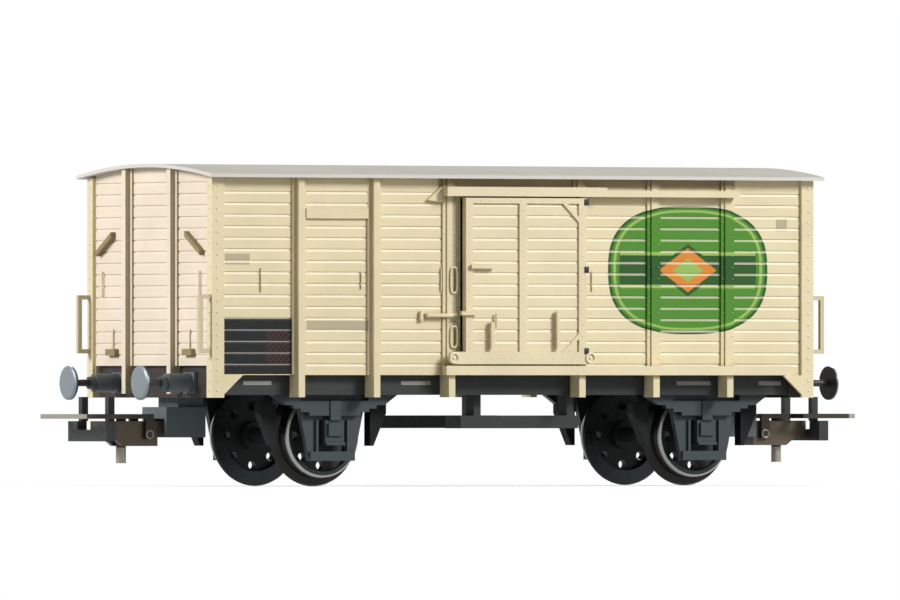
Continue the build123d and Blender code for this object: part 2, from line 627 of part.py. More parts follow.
# Axle guards behind the solebars: trapezoid plates with a slot for the axle box and a rib on each leg
GUARD_FOOT = AXLE_HEIGHT - GUARD_DROP
with BuildPart() as axle_guards:
    for side, place in AXLE_PLACES:
        with BuildSketch(side_plane(side, GUARD_BACK)):
            bar(place - GUARD_SHOULDER / 2, place + GUARD_SHOULDER / 2, SOLEBAR_FOOT, WALL_FOOT)
            with BuildLine():
                Polyline((place - GUARD_SHOULDER / 2, SOLEBAR_FOOT),
                         (place + GUARD_SHOULDER / 2, SOLEBAR_FOOT),
                         (place + GUARD_WIDTH_LOW / 2, GUARD_FOOT),
                         (place - GUARD_WIDTH_LOW / 2, GUARD_FOOT), close=True)
            make_face()
        extrude(amount=GUARD_THICKNESS)
        with BuildSketch(side_plane(side, GUARD_BACK)):
            bar(place - GUARD_SLOT / 2, place + GUARD_SLOT / 2, GUARD_FOOT + GUARD_TIE, AXLE_BOX_TOP)
        extrude(amount=GUARD_THICKNESS, mode=Mode.SUBTRACT)
        for hand in (-1, 1):
            rib = place + hand * (GUARD_SLOT / 2 + GUARD_RIB)
            with BuildSketch(side_plane(side, SOLEBAR_BACK)):
                bar(rib - GUARD_RIB / 2, rib + GUARD_RIB / 2, GUARD_FOOT + GUARD_TIE, AXLE_BOX_TOP)
            extrude(amount=GUARD_RIB)
        with BuildSketch(side_plane(side, SOLEBAR_BACK)):
            bar(place - GUARD_WIDTH_LOW / 2, place + GUARD_WIDTH_LOW / 2, GUARD_FOOT, GUARD_FOOT + GUARD_TIE)
        extrude(amount=GUARD_RIB)
save(axle_guards, "axle_guards")

# Axle boxes with a lid and a bottom ledge, bored blind for the journals
AXLE_BOX_FACE = SOLEBAR_BACK + AXLE_BOX_PROUD
AXLE_BOX_FOOT = AXLE_HEIGHT - AXLE_BOX_BELOW
JOURNAL_END = AXLE_BOX_BACK + JOURNAL_DEPTH
with BuildPart() as axle_boxes:
    for side, place in AXLE_PLACES:
        left = place - AXLE_BOX_WIDTH / 2
        right = place + AXLE_BOX_WIDTH / 2
        with BuildSketch(side_plane(side, AXLE_BOX_BACK)):
            bar(left, right, AXLE_BOX_FOOT, AXLE_BOX_TOP)
        extrude(amount=AXLE_BOX_FACE - AXLE_BOX_BACK)
        with BuildSketch(side_plane(side, AXLE_BOX_FACE)):
            bar(left + AXLE_BOX_LID, right - AXLE_BOX_LID, AXLE_HEIGHT, AXLE_BOX_TOP - AXLE_BOX_LID)
            bar(left, right, AXLE_BOX_FOOT, AXLE_BOX_FOOT + AXLE_BOX_LID)
        extrude(amount=AXLE_BOX_LID)
        with BuildSketch(side_plane(side, AXLE_BOX_BACK)):
            with Locations((place, AXLE_HEIGHT)):
                Circle(JOURNAL_RADIUS + JOURNAL_CLEARANCE)
        extrude(amount=JOURNAL_DEPTH, mode=Mode.SUBTRACT)
save(axle_boxes, "axle_boxes")

# Leaf springs on the axle boxes, the main leaf on top with a wedge up to the solebar at each end
LOWER_STACK = sum(thickness for length, thickness in LOWER_LEAVES)
MAIN_LEAF_FOOT = AXLE_BOX_TOP + SADDLE_HEIGHT + LOWER_STACK
MAIN_LEAF_TOP = MAIN_LEAF_FOOT + MAIN_LEAF_THICKNESS
with BuildPart() as leaf_springs:
    for side, place in AXLE_PLACES:
        leaf_top = MAIN_LEAF_TOP
        for length, thickness in ((MAIN_LEAF_LENGTH, MAIN_LEAF_THICKNESS),) + LOWER_LEAVES:
            with BuildSketch(side_plane(side, SOLEBAR_BACK)):
                bar(place - length / 2, place + length / 2, leaf_top - thickness, leaf_top)
            extrude(amount=LEAF_WIDTH)
            leaf_top -= thickness
        with BuildSketch(side_plane(side, SOLEBAR_BACK)):
            bar(place - BUCKLE_WIDTH / 2, place + BUCKLE_WIDTH / 2, AXLE_BOX_TOP, MAIN_LEAF_TOP)
        extrude(amount=LEAF_WIDTH + BUCKLE_PROUD)
        for hand in (-1, 1):
            leaf_end = place + hand * MAIN_LEAF_LENGTH / 2
            wedge_root = leaf_end - hand * WEDGE_ROOT
            with BuildSketch(side_plane(side, SOLEBAR_BACK)):
                with BuildLine():
                    Polyline((leaf_end, MAIN_LEAF_FOOT), (leaf_end + hand * WEDGE_REACH, SOLEBAR_FOOT),
                             (wedge_root, SOLEBAR_FOOT), (wedge_root, MAIN_LEAF_FOOT), close=True)
                make_face()
            extrude(amount=LEAF_WIDTH)
save(leaf_springs, "leaf_springs")

# Brake shoes beside the wheels, wedges on hangers from the floor
SHOE_INNER = WHEEL_BACK + FLANGE_WIDTH + SHOE_GAP
with BuildPart() as brake_shoes:
    for side, place in AXLE_PLACES:
        for hand in (-1, 1):
            root = place + hand * (FLANGE_RADIUS + SHOE_GAP)
            toe = root + hand * SHOE_TOE
            back = root + hand * SHOE_REACH
            middle = (root + back) / 2
            with BuildSketch(side_plane(side, SHOE_INNER)):
                with BuildLine():
                    Polyline((root, AXLE_HEIGHT - SHOE_BELOW), (toe, AXLE_HEIGHT - SHOE_BELOW),
                             (back, AXLE_HEIGHT + SHOE_SHOULDER), (back, AXLE_HEIGHT + SHOE_ABOVE),
                             (root, AXLE_HEIGHT + SHOE_ABOVE), close=True)
                make_face()
                bar(middle - SHOE_HANGER / 2, middle + SHOE_HANGER / 2, AXLE_HEIGHT + SHOE_ABOVE, WALL_FOOT)
            extrude(amount=SHOE_WIDTH)
save(brake_shoes, "brake_shoes")

# Step boards on hangers behind the solebars
for side_name, side in SIDES:
    left = -side * STEP_CENTRE - STEP_LENGTH / 2
    right = left + STEP_LENGTH
    with BuildPart() as step_board:
        with BuildSketch(side_plane(side, SOLEBAR_BACK)):
            bar(left, right, STEP_FOOT, STEP_TOP)
        extrude(amount=-STEP_DEPTH)
        with BuildSketch(side_plane(side, SOLEBAR_BACK)):
            for hanger in (left + STEP_LEFT_INSET, right - STEP_RIGHT_INSET):
                bar(hanger - STEP_HANGER / 2, hanger + STEP_HANGER / 2, STEP_TOP, WALL_FOOT)
        extrude(amount=-STEP_HANGER_DEPTH)
    save(step_board, f"step_board_{side_name}")

# Corner handrails, upright bars on two arms that stand out from the corner angles
HANDRAIL_FOOT = WALL_FOOT + HANDRAIL_RISE
HANDRAIL_TOP = HANDRAIL_FOOT + HANDRAIL_LENGTH
HANDRAIL_ROOT = HALF_LENGTH + CORNER_PROUD
with BuildPart() as corner_handrails:
    for side_name, side in SIDES:
        for hand in (-1, 1):
            tip = hand * (HANDRAIL_ROOT + HANDRAIL_REACH)
            root = hand * HANDRAIL_ROOT
            with BuildSketch(side_plane(side, HALF_WIDTH + CORNER_PROUD - HANDRAIL_INSET)):
                with BuildLine():
                    Polyline((root, HANDRAIL_FOOT), (tip, HANDRAIL_FOOT), (tip, HANDRAIL_TOP),
                             (root, HANDRAIL_TOP), (root, HANDRAIL_TOP - HANDRAIL_SIZE),
                             (tip - hand * HANDRAIL_SIZE, HANDRAIL_TOP - HANDRAIL_SIZE),
                             (tip - hand * HANDRAIL_SIZE, HANDRAIL_FOOT + HANDRAIL_SIZE),
                             (root, HANDRAIL_FOOT + HANDRAIL_SIZE), close=True)
                make_face()
            extrude(amount=-HANDRAIL_SIZE)
save(corner_handrails, "corner_handrails")

# Slanted grab bars and lamp brackets on the end walls, heights measured from the foot of the side walls
GRAB_OUTER = HALF_WIDTH - GRAB_FROM_SIDE
GRAB_INNER = GRAB_OUTER - GRAB_SPAN
GRAB_FOOT = WALL_FOOT + GRAB_LOW
GRAB_TOP = WALL_FOOT + GRAB_HIGH
with BuildPart() as end_grab_bars:
    for end_name, end in ENDS:
        with BuildSketch(end_plane(end, HALF_LENGTH)):
            for hand in (-1, 1):
                with BuildLine():
                    Polyline((hand * GRAB_OUTER, GRAB_FOOT), (hand * GRAB_OUTER, GRAB_FOOT + GRAB_SIZE),
                             (hand * GRAB_INNER, GRAB_TOP + GRAB_SIZE), (hand * GRAB_INNER, GRAB_TOP),
                             close=True)
                make_face()
        extrude(amount=GRAB_SIZE)
save(end_grab_bars, "end_grab_bars")

LAMP_FOOT = WALL_FOOT + LAMP_RISE
with BuildPart() as lamp_brackets:
    for end_name, end in ENDS:
        with BuildSketch(end_plane(end, HALF_LENGTH)):
            for place in (-LAMP_OFFSET, LAMP_OFFSET):
                bar(place - LAMP_WIDTH / 2, place + LAMP_WIDTH / 2, LAMP_FOOT, LAMP_FOOT + LAMP_HEIGHT)
        extrude(amount=LAMP_PROUD)
save(lamp_brackets, "lamp_brackets")

# Wheelsets: axle with journals, discs with holes and hubs, tyres with flanges
AXLE_END = JOURNAL_END - AXLE_END_GAP
DISC_BACK = WHEEL_BACK + (WHEEL_WIDTH - DISC_THICKNESS) / 2
for axle_name, axle_x in AXLES:
    with BuildPart() as axle:
        with BuildSketch(Plane.XZ.offset(-WHEEL_FACE)):
            with Locations((axle_x, AXLE_HEIGHT)):
                Circle(AXLE_RADIUS)
        extrude(amount=2 * WHEEL_FACE)
        with BuildSketch(Plane.XZ.offset(-AXLE_END)):
            with Locations((axle_x, AXLE_HEIGHT)):
                Circle(JOURNAL_RADIUS)
        extrude(amount=2 * AXLE_END)
    save(axle, f"axle_{axle_name}")
    with BuildPart() as wheel_discs:
        for side_name, side in SIDES:
            centre = (-side * axle_x, AXLE_HEIGHT)
            with BuildSketch(side_plane(side, DISC_BACK)):
                with Locations(centre):
                    Circle(TYRE_INNER)
                    with PolarLocations(DISC_HOLE_CIRCLE, DISC_HOLES):
                        Circle(DISC_HOLE_RADIUS, mode=Mode.SUBTRACT)
            extrude(amount=DISC_THICKNESS)
            with BuildSketch(side_plane(side, WHEEL_BACK)):
                with Locations(centre):
                    Circle(HUB_RADIUS)
            extrude(amount=WHEEL_WIDTH)
            with BuildSketch(side_plane(side, WHEEL_BACK)):
                with Locations(centre):
                    Circle(AXLE_RADIUS)
            extrude(amount=WHEEL_WIDTH, mode=Mode.SUBTRACT)
    save(wheel_discs, f"wheel_discs_{axle_name}")
    with BuildPart() as wheel_tyres:
        for side_name, side in SIDES:
            # The tyre's section, as radius and distance from the middle of the axle
            section = (
                (TYRE_INNER, WHEEL_BACK),
                (FLANGE_RADIUS - WHEEL_EDGE, WHEEL_BACK),
                (FLANGE_RADIUS, WHEEL_BACK + WHEEL_EDGE),
                (FLANGE_RADIUS - WHEEL_EDGE, WHEEL_BACK + FLANGE_WIDTH - WHEEL_EDGE),
                (TREAD_RADIUS, WHEEL_BACK + FLANGE_WIDTH),
                (TREAD_RADIUS - TREAD_TAPER, WHEEL_FACE - WHEEL_EDGE),
                (TREAD_RADIUS - TREAD_TAPER - WHEEL_EDGE, WHEEL_FACE),
                (TYRE_INNER, WHEEL_FACE),
            )
            with BuildSketch(Plane.XY.offset(AXLE_HEIGHT)):
                with BuildLine():
                    Polyline(*[(axle_x + radius, side * across) for radius, across in section], close=True)
                make_face()
            revolve(axis=Axis((axle_x, 0, AXLE_HEIGHT), (0, 1, 0)))
    save(wheel_tyres, f"wheel_tyres_{axle_name}")

# Couplers: pocket with a pivot pin under the floor, swinging shank with head, lifting bail with trip pin
LUG_OUTER = SHANK_WIDTH / 2 + LUG_GAP + LUG_THICKNESS
LUG_FOOT = BAIL_PIN_HEIGHT - LUG_WIDTH / 2
BAIL_TOP = BAIL_FOOT + BAIL_THICKNESS
TRIP_SLOT_HALF_WIDTH = TRIP_PIN_RADIUS + TRIP_SLOT_SIDE
TRIP_SLOT_START = TRIP_PIN_OUTSIDE - TRIP_PIN_RADIUS - TRIP_SLOT_BACK
TRIP_SLOT_END = TRIP_PIN_OUTSIDE + TRIP_PIN_RADIUS + TRIP_SLOT_FRONT
for end_name, end in ENDS:
    # Planes lying flat at one level, with local x measured outwards from the end wall
    def level(height):
        return Plane(origin=(end * HALF_LENGTH, 0, height), x_dir=(end, 0, 0), z_dir=(0, 0, 1))

    with BuildPart() as coupler_pocket:
        pocket_back = -POCKET_MOUTH - POCKET_LENGTH
        with BuildSketch(level(SHANK_TOP - POCKET_SKIRT)):
            for hand in (-1, 1):
                inner, outer = sorted((hand * POCKET_INNER, hand * (POCKET_INNER + POCKET_WALL)))
                bar(pocket_back, -POCKET_MOUTH, inner, outer)
        extrude(amount=POCKET_CEILING - SHANK_TOP + POCKET_SKIRT)
        with BuildSketch(level(POCKET_CEILING)):
            bar(pocket_back, -POCKET_MOUTH, -POCKET_INNER - POCKET_WALL, POCKET_INNER + POCKET_WALL)
        extrude(amount=POCKET_ROOF)
        with BuildSketch(level(TONGUE_FOOT)):
            with Locations((-PIVOT_INSIDE, 0)):
                Circle(PIVOT_RADIUS)
        extrude(amount=POCKET_TOP - TONGUE_FOOT)
        with BuildSketch(level(POCKET_TOP)):
            bar(pocket_back, -HEADSTOCK_BACK_INSET, -POCKET_INNER, POCKET_INNER)
        extrude(amount=WALL_FOOT - POCKET_TOP)
    save(coupler_pocket, f"coupler_pocket_{end_name}")

    with BuildPart() as coupler_shank:
        with BuildSketch(level(TONGUE_FOOT)):
            bar(-PIVOT_INSIDE, CHEEK_START, -SHANK_WIDTH / 2, SHANK_WIDTH / 2)
            with Locations((-PIVOT_INSIDE, 0)):
                Circle(SHANK_WIDTH / 2)
        extrude(amount=TONGUE_HEIGHT)
        with BuildSketch(level(SHANK_FOOT)):
            bar(CHEEK_START, HEAD_START, -SHANK_WIDTH / 2, SHANK_WIDTH / 2)
        extrude(amount=SHANK_HEIGHT)
        with BuildSketch(Plane.XZ.offset(-SHANK_WIDTH / 2)):
            with BuildLine():
                Polyline((end * (HALF_LENGTH + CHEEK_END - CHEEK_SLOPE), SHANK_FOOT),
                         (end * (HALF_LENGTH + CHEEK_END), SHANK_FOOT + NECK_RISE),
                         (end * (HALF_LENGTH + HEAD_START), SHANK_FOOT + NECK_RISE),
                         (end * (HALF_LENGTH + HEAD_START), SHANK_FOOT), close=True)
            make_face()
        extrude(amount=SHANK_WIDTH, mode=Mode.SUBTRACT)
        with BuildSketch(level(SHANK_FOOT)):
            bar(TRIP_SLOT_START, TRIP_SLOT_END, -TRIP_SLOT_HALF_WIDTH, TRIP_SLOT_HALF_WIDTH)
            with Locations((-PIVOT_INSIDE, 0)):
                Circle(PIVOT_RADIUS + PIVOT_CLEARANCE)
        extrude(amount=SHANK_HEIGHT, mode=Mode.SUBTRACT)
        with BuildSketch(Plane.XZ.offset(-SHANK_WIDTH / 2)):
            with Locations((end * (HALF_LENGTH + BAIL_PIN_OUTSIDE), BAIL_PIN_HEIGHT)):
                Circle(BAIL_PIN_RADIUS + BAIL_PIN_CLEARANCE)
        extrude(amount=SHANK_WIDTH, mode=Mode.SUBTRACT)
    save(coupler_shank, f"coupler_shank_{end_name}")

    with BuildPart() as coupler_head:
        with BuildSketch(end_plane(end, HALF_LENGTH + HEAD_START)):
            bar(-HEAD_WIDTH / 2, HEAD_WIDTH / 2, SHANK_FOOT + HEAD_STEP, SHANK_TOP)
        extrude(amount=HEAD_THICKNESS)
        with BuildSketch(end_plane(end, HALF_LENGTH + HEAD_START)):
            bar(-HEAD_NOTCH_WIDTH / 2, HEAD_NOTCH_WIDTH / 2, SHANK_TOP - HEAD_NOTCH_DEPTH, SHANK_TOP)
        extrude(amount=HEAD_THICKNESS, mode=Mode.SUBTRACT)
        with BuildSketch(level(SHANK_TOP)):
            for hand in (-1, 1):
                with Locations((HEAD_START, hand * HORN_OFFSET)):
                    Rectangle(HORN_SIZE, HORN_SIZE)
        extrude(amount=HORN_HEIGHT)
    save(coupler_head, f"coupler_head_{end_name}")

    with BuildPart() as coupler_bail:
        with BuildSketch(level(BAIL_FOOT)):
            bar(BAIL_BACK, BAIL_BACK + BAIL_BAR, -BAIL_WIDTH / 2, BAIL_WIDTH / 2)
            bar(BAIL_REACH - BAIL_BAR, BAIL_REACH, -BAIL_WIDTH / 2, BAIL_WIDTH / 2)
            bar(BAIL_BACK, BAIL_REACH, -BAIL_WIDTH / 2, -BAIL_WIDTH / 2 + BAIL_BAR)
            bar(BAIL_BACK, BAIL_REACH, BAIL_WIDTH / 2 - BAIL_BAR, BAIL_WIDTH / 2)
            bar(BAIL_PIN_OUTSIDE, BAIL_BACK, -LUG_OUTER, LUG_OUTER)
        extrude(amount=BAIL_THICKNESS)
        for hand in (-1, 1):
            inner, outer = sorted((hand * (LUG_OUTER - LUG_THICKNESS), hand * LUG_OUTER))
            with BuildSketch(level(LUG_FOOT)):
                bar(BAIL_PIN_OUTSIDE - LUG_WIDTH / 2, BAIL_PIN_OUTSIDE + LUG_WIDTH / 2, inner, outer)
            extrude(amount=BAIL_TOP - LUG_FOOT)
        with BuildSketch(Plane.XZ.offset(-LUG_OUTER)):
            with Locations((end * (HALF_LENGTH + BAIL_PIN_OUTSIDE), BAIL_PIN_HEIGHT)):
                Circle(BAIL_PIN_RADIUS)
        extrude(amount=2 * LUG_OUTER)
        with BuildSketch(level(SHANK_FOOT - TRIP_PIN_LENGTH)):
            with Locations((TRIP_PIN_OUTSIDE, 0)):
                Circle(TRIP_PIN_RADIUS)
        extrude(amount=BAIL_TOP - SHANK_FOOT + TRIP_PIN_LENGTH)
    save(coupler_bail, f"coupler_bail_{end_name}")
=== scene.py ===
import json
import math

import bmesh
import bpy
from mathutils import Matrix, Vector


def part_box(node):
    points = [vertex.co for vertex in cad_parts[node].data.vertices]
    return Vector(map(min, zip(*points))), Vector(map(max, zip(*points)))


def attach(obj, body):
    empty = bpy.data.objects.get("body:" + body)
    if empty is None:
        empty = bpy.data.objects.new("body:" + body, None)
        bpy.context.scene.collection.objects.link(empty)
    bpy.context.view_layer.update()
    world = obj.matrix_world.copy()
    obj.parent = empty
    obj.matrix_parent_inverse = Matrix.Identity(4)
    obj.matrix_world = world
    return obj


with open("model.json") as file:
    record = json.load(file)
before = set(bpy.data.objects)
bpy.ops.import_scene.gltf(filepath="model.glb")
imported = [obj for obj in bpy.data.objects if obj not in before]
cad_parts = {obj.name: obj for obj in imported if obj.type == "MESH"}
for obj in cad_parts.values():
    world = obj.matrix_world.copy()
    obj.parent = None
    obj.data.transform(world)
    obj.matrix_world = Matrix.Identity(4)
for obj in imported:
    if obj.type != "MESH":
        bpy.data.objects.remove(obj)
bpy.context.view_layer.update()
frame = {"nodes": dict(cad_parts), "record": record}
nodes = frame["nodes"]

# Lengths are in millimetres, and become metres when a piece is made
MM = 0.001
SIDES = (("near", -1), ("far", 1))
ENDS = (("left", -1), ("right", 1))
BOARD_PITCH = 1.47


def limits(node):
    """Lowest and highest corner of a node at rest, in millimetres."""
    low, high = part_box(node)
    return low / MM, high / MM


WALL_LOW, WALL_HIGH = limits("side_wall_near")
CORNER_HIGH = limits("corner_posts")[1]
DOOR_LOW, DOOR_HIGH = limits("door_panel_near")
FRAME_LOW, FRAME_HIGH = limits("door_frame_near")
HOOD_LOW, HOOD_HIGH = limits("upper_door_rail_near")
SOLEBAR_HIGH = limits("solebars")[1]
BUFFER_HIGH = limits("buffer_heads")[1]
BAIL_LOW, BAIL_HIGH = limits("coupler_bail_right")
TYRE_MIDDLES = {}
for end_name, end in ENDS:
    TYRE_LOW, TYRE_HIGH = limits(f"wheel_tyres_{end_name}")
    TYRE_MIDDLES[end_name] = (TYRE_LOW.x + TYRE_HIGH.x) / 2
AXLE_HEIGHT = TYRE_HIGH.z / 2
WHEEL_FACE = TYRE_HIGH.y
WHEEL_BACK = 7.2
TREAD_EDGE = 5.2
WALL_FACE = -WALL_LOW.y
WALL_FOOT = WALL_LOW.z
WALL_TOP = WALL_HIGH.z
END_FACE = WALL_HIGH.x
FRAME_FACE = -FRAME_LOW.y
BOARD_COUNT = 17
BOARD_MIDDLE = 0.45
BOARD_MIDDLES = [WALL_FOOT + BOARD_PITCH * (index + BOARD_MIDDLE) for index in range(BOARD_COUNT)]


# Colours and materials


def srgb(red, green, blue):
    """Linear colour with alpha from screen values of 0 to 255."""
    shares = [value / 255 for value in (red, green, blue)]
    return tuple(s / 12.92 if s <= 0.04045 else ((s + 0.055) / 1.055) ** 2.4 for s in shares) + (1.0,)


def scaled(colour, share):
    """A colour made lighter or darker by a share."""
    return tuple(min(1.0, value * share) for value in colour[:3]) + (1.0,)


CREAM = srgb(226, 213, 176)
# Painted highlight for the sloping top edges of the boards
CREAM_SLOPE_HIGHLIGHT = srgb(248, 239, 210)
# Painted shade where surfaces meet on the cream
CREAM_CORNER_SHADE = srgb(150, 134, 96)
# A touch lighter than the sides' cream: painted light on the door
DOOR_CREAM_LIT = srgb(228, 215, 180)
END_CREAM = srgb(232, 218, 198)
# Painted shade: cream darkened as if in shade, for grab bars, lamp brackets and the inner faces of handrails
CREAM_IN_SHADE = srgb(150, 132, 96)
SHADED_CREAM = srgb(178, 168, 136)
JAMB_SHADE = srgb(150, 136, 100)
EAVE_SHADE = srgb(84, 71, 52)
HANDRAIL_CREAM = srgb(204, 192, 160)
SLATE = srgb(52, 56, 55)
GUARD_SLATE = srgb(60, 68, 71)
FITTING_SLATE = srgb(90, 100, 103)
WHEEL_BLACK = srgb(50, 56, 57)
SHOE_BLACK = srgb(30, 32, 33)
PLATE_GREY = srgb(150, 150, 144)
HEADSTOCK_BROWN = srgb(60, 54, 52)
ROOF_TOP = srgb(173, 170, 163)
# Painted highlight: the paler grey on the roof's edges
ROOF_RIM_HIGHLIGHT = srgb(216, 212, 206)
BUFFER_GREY = srgb(128, 137, 143)
STEEL = srgb(178, 178, 176)
DULL_STEEL = srgb(40, 39, 38)
RUBBED = srgb(150, 146, 136)
BLACKENED = srgb(52, 53, 54)
BROWNED = srgb(92, 82, 68)
BAIL_BROWN = srgb(58, 52, 44)
BALLAST_GREY = srgb(150, 150, 152)
PANEL_BLACK = srgb(15, 17, 18)
PANEL_LINE = srgb(166, 160, 148)
PANEL_PATCH = srgb(66, 38, 36)
LABEL_GREY = srgb(166, 156, 128)
SIGN_GREEN = srgb(76, 132, 44)
SIGN_DARK = srgb(40, 84, 34)
SIGN_LIGHT = srgb(150, 184, 92)
SIGN_ORANGE = srgb(216, 134, 50)


# Noise runs from about the low to the high value. Its scales are per millimetre
NOISE_LOW = 0.3
NOISE_HIGH = 0.7
ROUGHNESS_SCALE = 1.3
CLOUD_SCALE = 0.16
CLOUD_DETAIL = 3.0
CLOUD_DARK = 0.95
CLOUD_PALE = 1.04
WORN_SCALE = 2.5
GRAIN_SCALE = 9.0
FINE_DETAIL = 4.0
GRAIN_DEPTH = 0.03
OCCLUSION_SAMPLES = 8


class Shader:
    """One procedural material: a principled surface and the nodes that feed it."""

    def __init__(self, name, metallic=0.0, specular=0.3):
        self.material = bpy.data.materials.new(name)
        self.material.use_nodes = True
        self.nodes = self.material.node_tree.nodes
        self.links = self.material.node_tree.links
        self.surface = self.nodes["Principled BSDF"]
        self.surface.inputs["Metallic"].default_value = metallic
        self.surface.inputs["Specular IOR Level"].default_value = specular
        coordinates = self.nodes.new("ShaderNodeTexCoord")
        upright = self.node("ShaderNodeSeparateXYZ", None, coordinates.outputs["Normal"])
        self.lean = upright.outputs["X"]
        self.turn = upright.outputs["Y"]
        self.tilt = upright.outputs["Z"]
        place = self.node("ShaderNodeVectorMath", "SCALE", coordinates.outputs["Object"], Scale=1 / MM)
        self.place = place.outputs["Vector"]
        separate = self.node("ShaderNodeSeparateXYZ", None, self.place)
        self.x, self.y, self.z = separate.outputs

    def node(self, kind, operation, *inputs, **named):
        """Add a node and set or link its inputs, by order or by name."""
        made = self.nodes.new(kind)
        if operation:
            made.operation = operation
        for key, value in list(enumerate(inputs)) + list(named.items()):
            self.feed(made.inputs[key], value)
        return made

    def feed(self, socket, value):
        """Link a socket to another, or set it."""
        if isinstance(value, bpy.types.NodeSocket):
            self.links.new(value, socket)
        else:
            socket.default_value = value

    def math(self, operation, *inputs):
        """Result of one math node."""
        return self.node("ShaderNodeMath", operation, *inputs).outputs["Value"]

    def between(self, value, low, high):
        """1 where a value lies between two limits."""
        above = self.math("GREATER_THAN", value, low)
        return self.math("MULTIPLY", above, self.math("LESS_THAN", value, high))

    def box(self, across, left, right, foot, top):
        """1 inside an upright rectangle."""
        return self.math("MULTIPLY", self.between(across, left, right), self.between(self.z, foot, top))

    def noise(self, scale, detail=2.0):
        """Noise of 0 to 1, its scale per millimetre."""
        return self.node("ShaderNodeTexNoise", None, self.place, Scale=scale, Detail=detail).outputs["Fac"]

    def spread(self, value, low, high):
        """A noise value spread between two others."""
        made = self.node("ShaderNodeMapRange", None, value)
        made.inputs["From Min"].default_value = NOISE_LOW
        made.inputs["From Max"].default_value = NOISE_HIGH
        made.inputs["To Min"].default_value = low
        made.inputs["To Max"].default_value = high
        return made.outputs["Result"]

    def mix(self, share, first, second):
        """Two colours mixed by a share."""
        made = self.nodes.new("ShaderNodeMix")
        made.data_type = "RGBA"
        colours = [socket for socket in made.inputs if socket.type == "RGBA"]
        self.feed(made.inputs["Factor"], share)
        self.feed(colours[0], first)
        self.feed(colours[1], second)
        return next(socket for socket in made.outputs if socket.type == "RGBA")

    def finish(self, colour, roughness, grain):
        """Set colour, a roughness range and a fine grain on the surface, and give the material."""
        self.feed(self.surface.inputs["Base Color"], colour)
        self.feed(self.surface.inputs["Roughness"], self.spread(self.noise(ROUGHNESS_SCALE), *roughness))
        bump = self.nodes.new("ShaderNodeBump")
        bump.inputs["Strength"].default_value = grain
        bump.inputs["Distance"].default_value = GRAIN_DEPTH * MM
        self.feed(bump.inputs["Height"], self.noise(GRAIN_SCALE, FINE_DETAIL))
        self.feed(self.surface.inputs["Normal"], bump.outputs["Normal"])
        return self.material

    def cloudy_and_corner_shaded(self, colour, corner_shade, reach, depth):
        """A colour with cloudy variation, and painted shade where surfaces meet, taken from ambient
        occlusion.
        """
        clouds = self.spread(self.noise(CLOUD_SCALE, CLOUD_DETAIL), 0.0, 1.0)
        cloudy = self.mix(clouds, scaled(colour, CLOUD_DARK), scaled(colour, CLOUD_PALE))
        occlusion = self.nodes.new("ShaderNodeAmbientOcclusion")
        occlusion.samples = OCCLUSION_SAMPLES
        occlusion.inputs["Distance"].default_value = reach * MM
        open_share = self.spread(occlusion.outputs["AO"], 0.0, 1.0)
        return self.mix(self.math("MULTIPLY", self.math("SUBTRACT", 1.0, open_share), depth), cloudy, corner_shade)


# Ranges of roughness, reach in millimetres and depth of the painted shade where surfaces meet, and how far a
# surface has to lean to count as sloping or as facing one way
MATT = (0.5, 0.62)
SATIN = (0.4, 0.55)
SMOOTH = (0.35, 0.5)
DULL = (0.5, 0.65)
# Painted shade where surfaces meet: its reach, and its depth on plain finishes, boards and sides
CORNER_SHADE_REACH = 0.8
PLAIN_CORNER_SHADE = 0.6
BOARD_CORNER_SHADE = (0.5, 0.3)
SIDE_CORNER_SHADE = (1.2, 0.55)
SLOPING = (0.2, 0.8)
FACING = 0.7
# Share of painted highlight on the sloping top edges of the boards
SLOPE_HIGHLIGHT_SHARE = 0.75


def plain(name, colour, corner_shade_share, roughness, grain, metallic=0.0, specular=0.3):
    """A moulded or metal finish of one colour, its painted shade where surfaces meet a darker share of that
    colour.
    """
    shader = Shader(name, metallic, specular)
    body = shader.cloudy_and_corner_shaded(colour, scaled(colour, corner_shade_share), CORNER_SHADE_REACH, PLAIN_CORNER_SHADE)
    return shader.finish(body, roughness, grain)


def boarded(name, colour, highlight_share, flank_shade=None):
    """Cream finish with a painted highlight on the sloping top edges of the boards and painted shade on the
    flanks of posts.
    """
    shader = Shader(name, specular=0.2)
    body = shader.cloudy_and_corner_shaded(colour, CREAM_CORNER_SHADE, *BOARD_CORNER_SHADE)
    # Painted highlight on the sloping top edges of the boards
    sloping = shader.math("MULTIPLY", shader.between(shader.tilt, *SLOPING), highlight_share)
    body = shader.mix(sloping, body, CREAM_SLOPE_HIGHLIGHT)
    # Painted shade on faces turned sideways
    if flank_shade:
        sideways = shader.math("GREATER_THAN", shader.math("ABSOLUTE", shader.turn), FACING)
        body = shader.mix(sideways, body, flank_shade)
    return shader.finish(body, MATT, 0.25)


# Paint on each side as seen from outside: a green oval high on the right, a ruled panel low on the left,
# blank labels, and shade under the eave and on the door jamb. Boxes are left, right, foot and top
SIGN_CENTRE = (26.3, 27.9)
SIGN_HALF = (12.1, 8.3)
SIGN_BAND = 1.9
SIGN_DIAMOND = (5.2, 3.4)
SIGN_SQUARENESS = 2.6
SIGN_FIELD = 0.86
SIGN_LINE = (0.9, 0.935)
SIGN_EDGE = (0.965, 1.0)
SIGN_BAND_LINE = 0.45
DIAMOND_RIM = 0.84
DIAMOND_HEART = 0.45
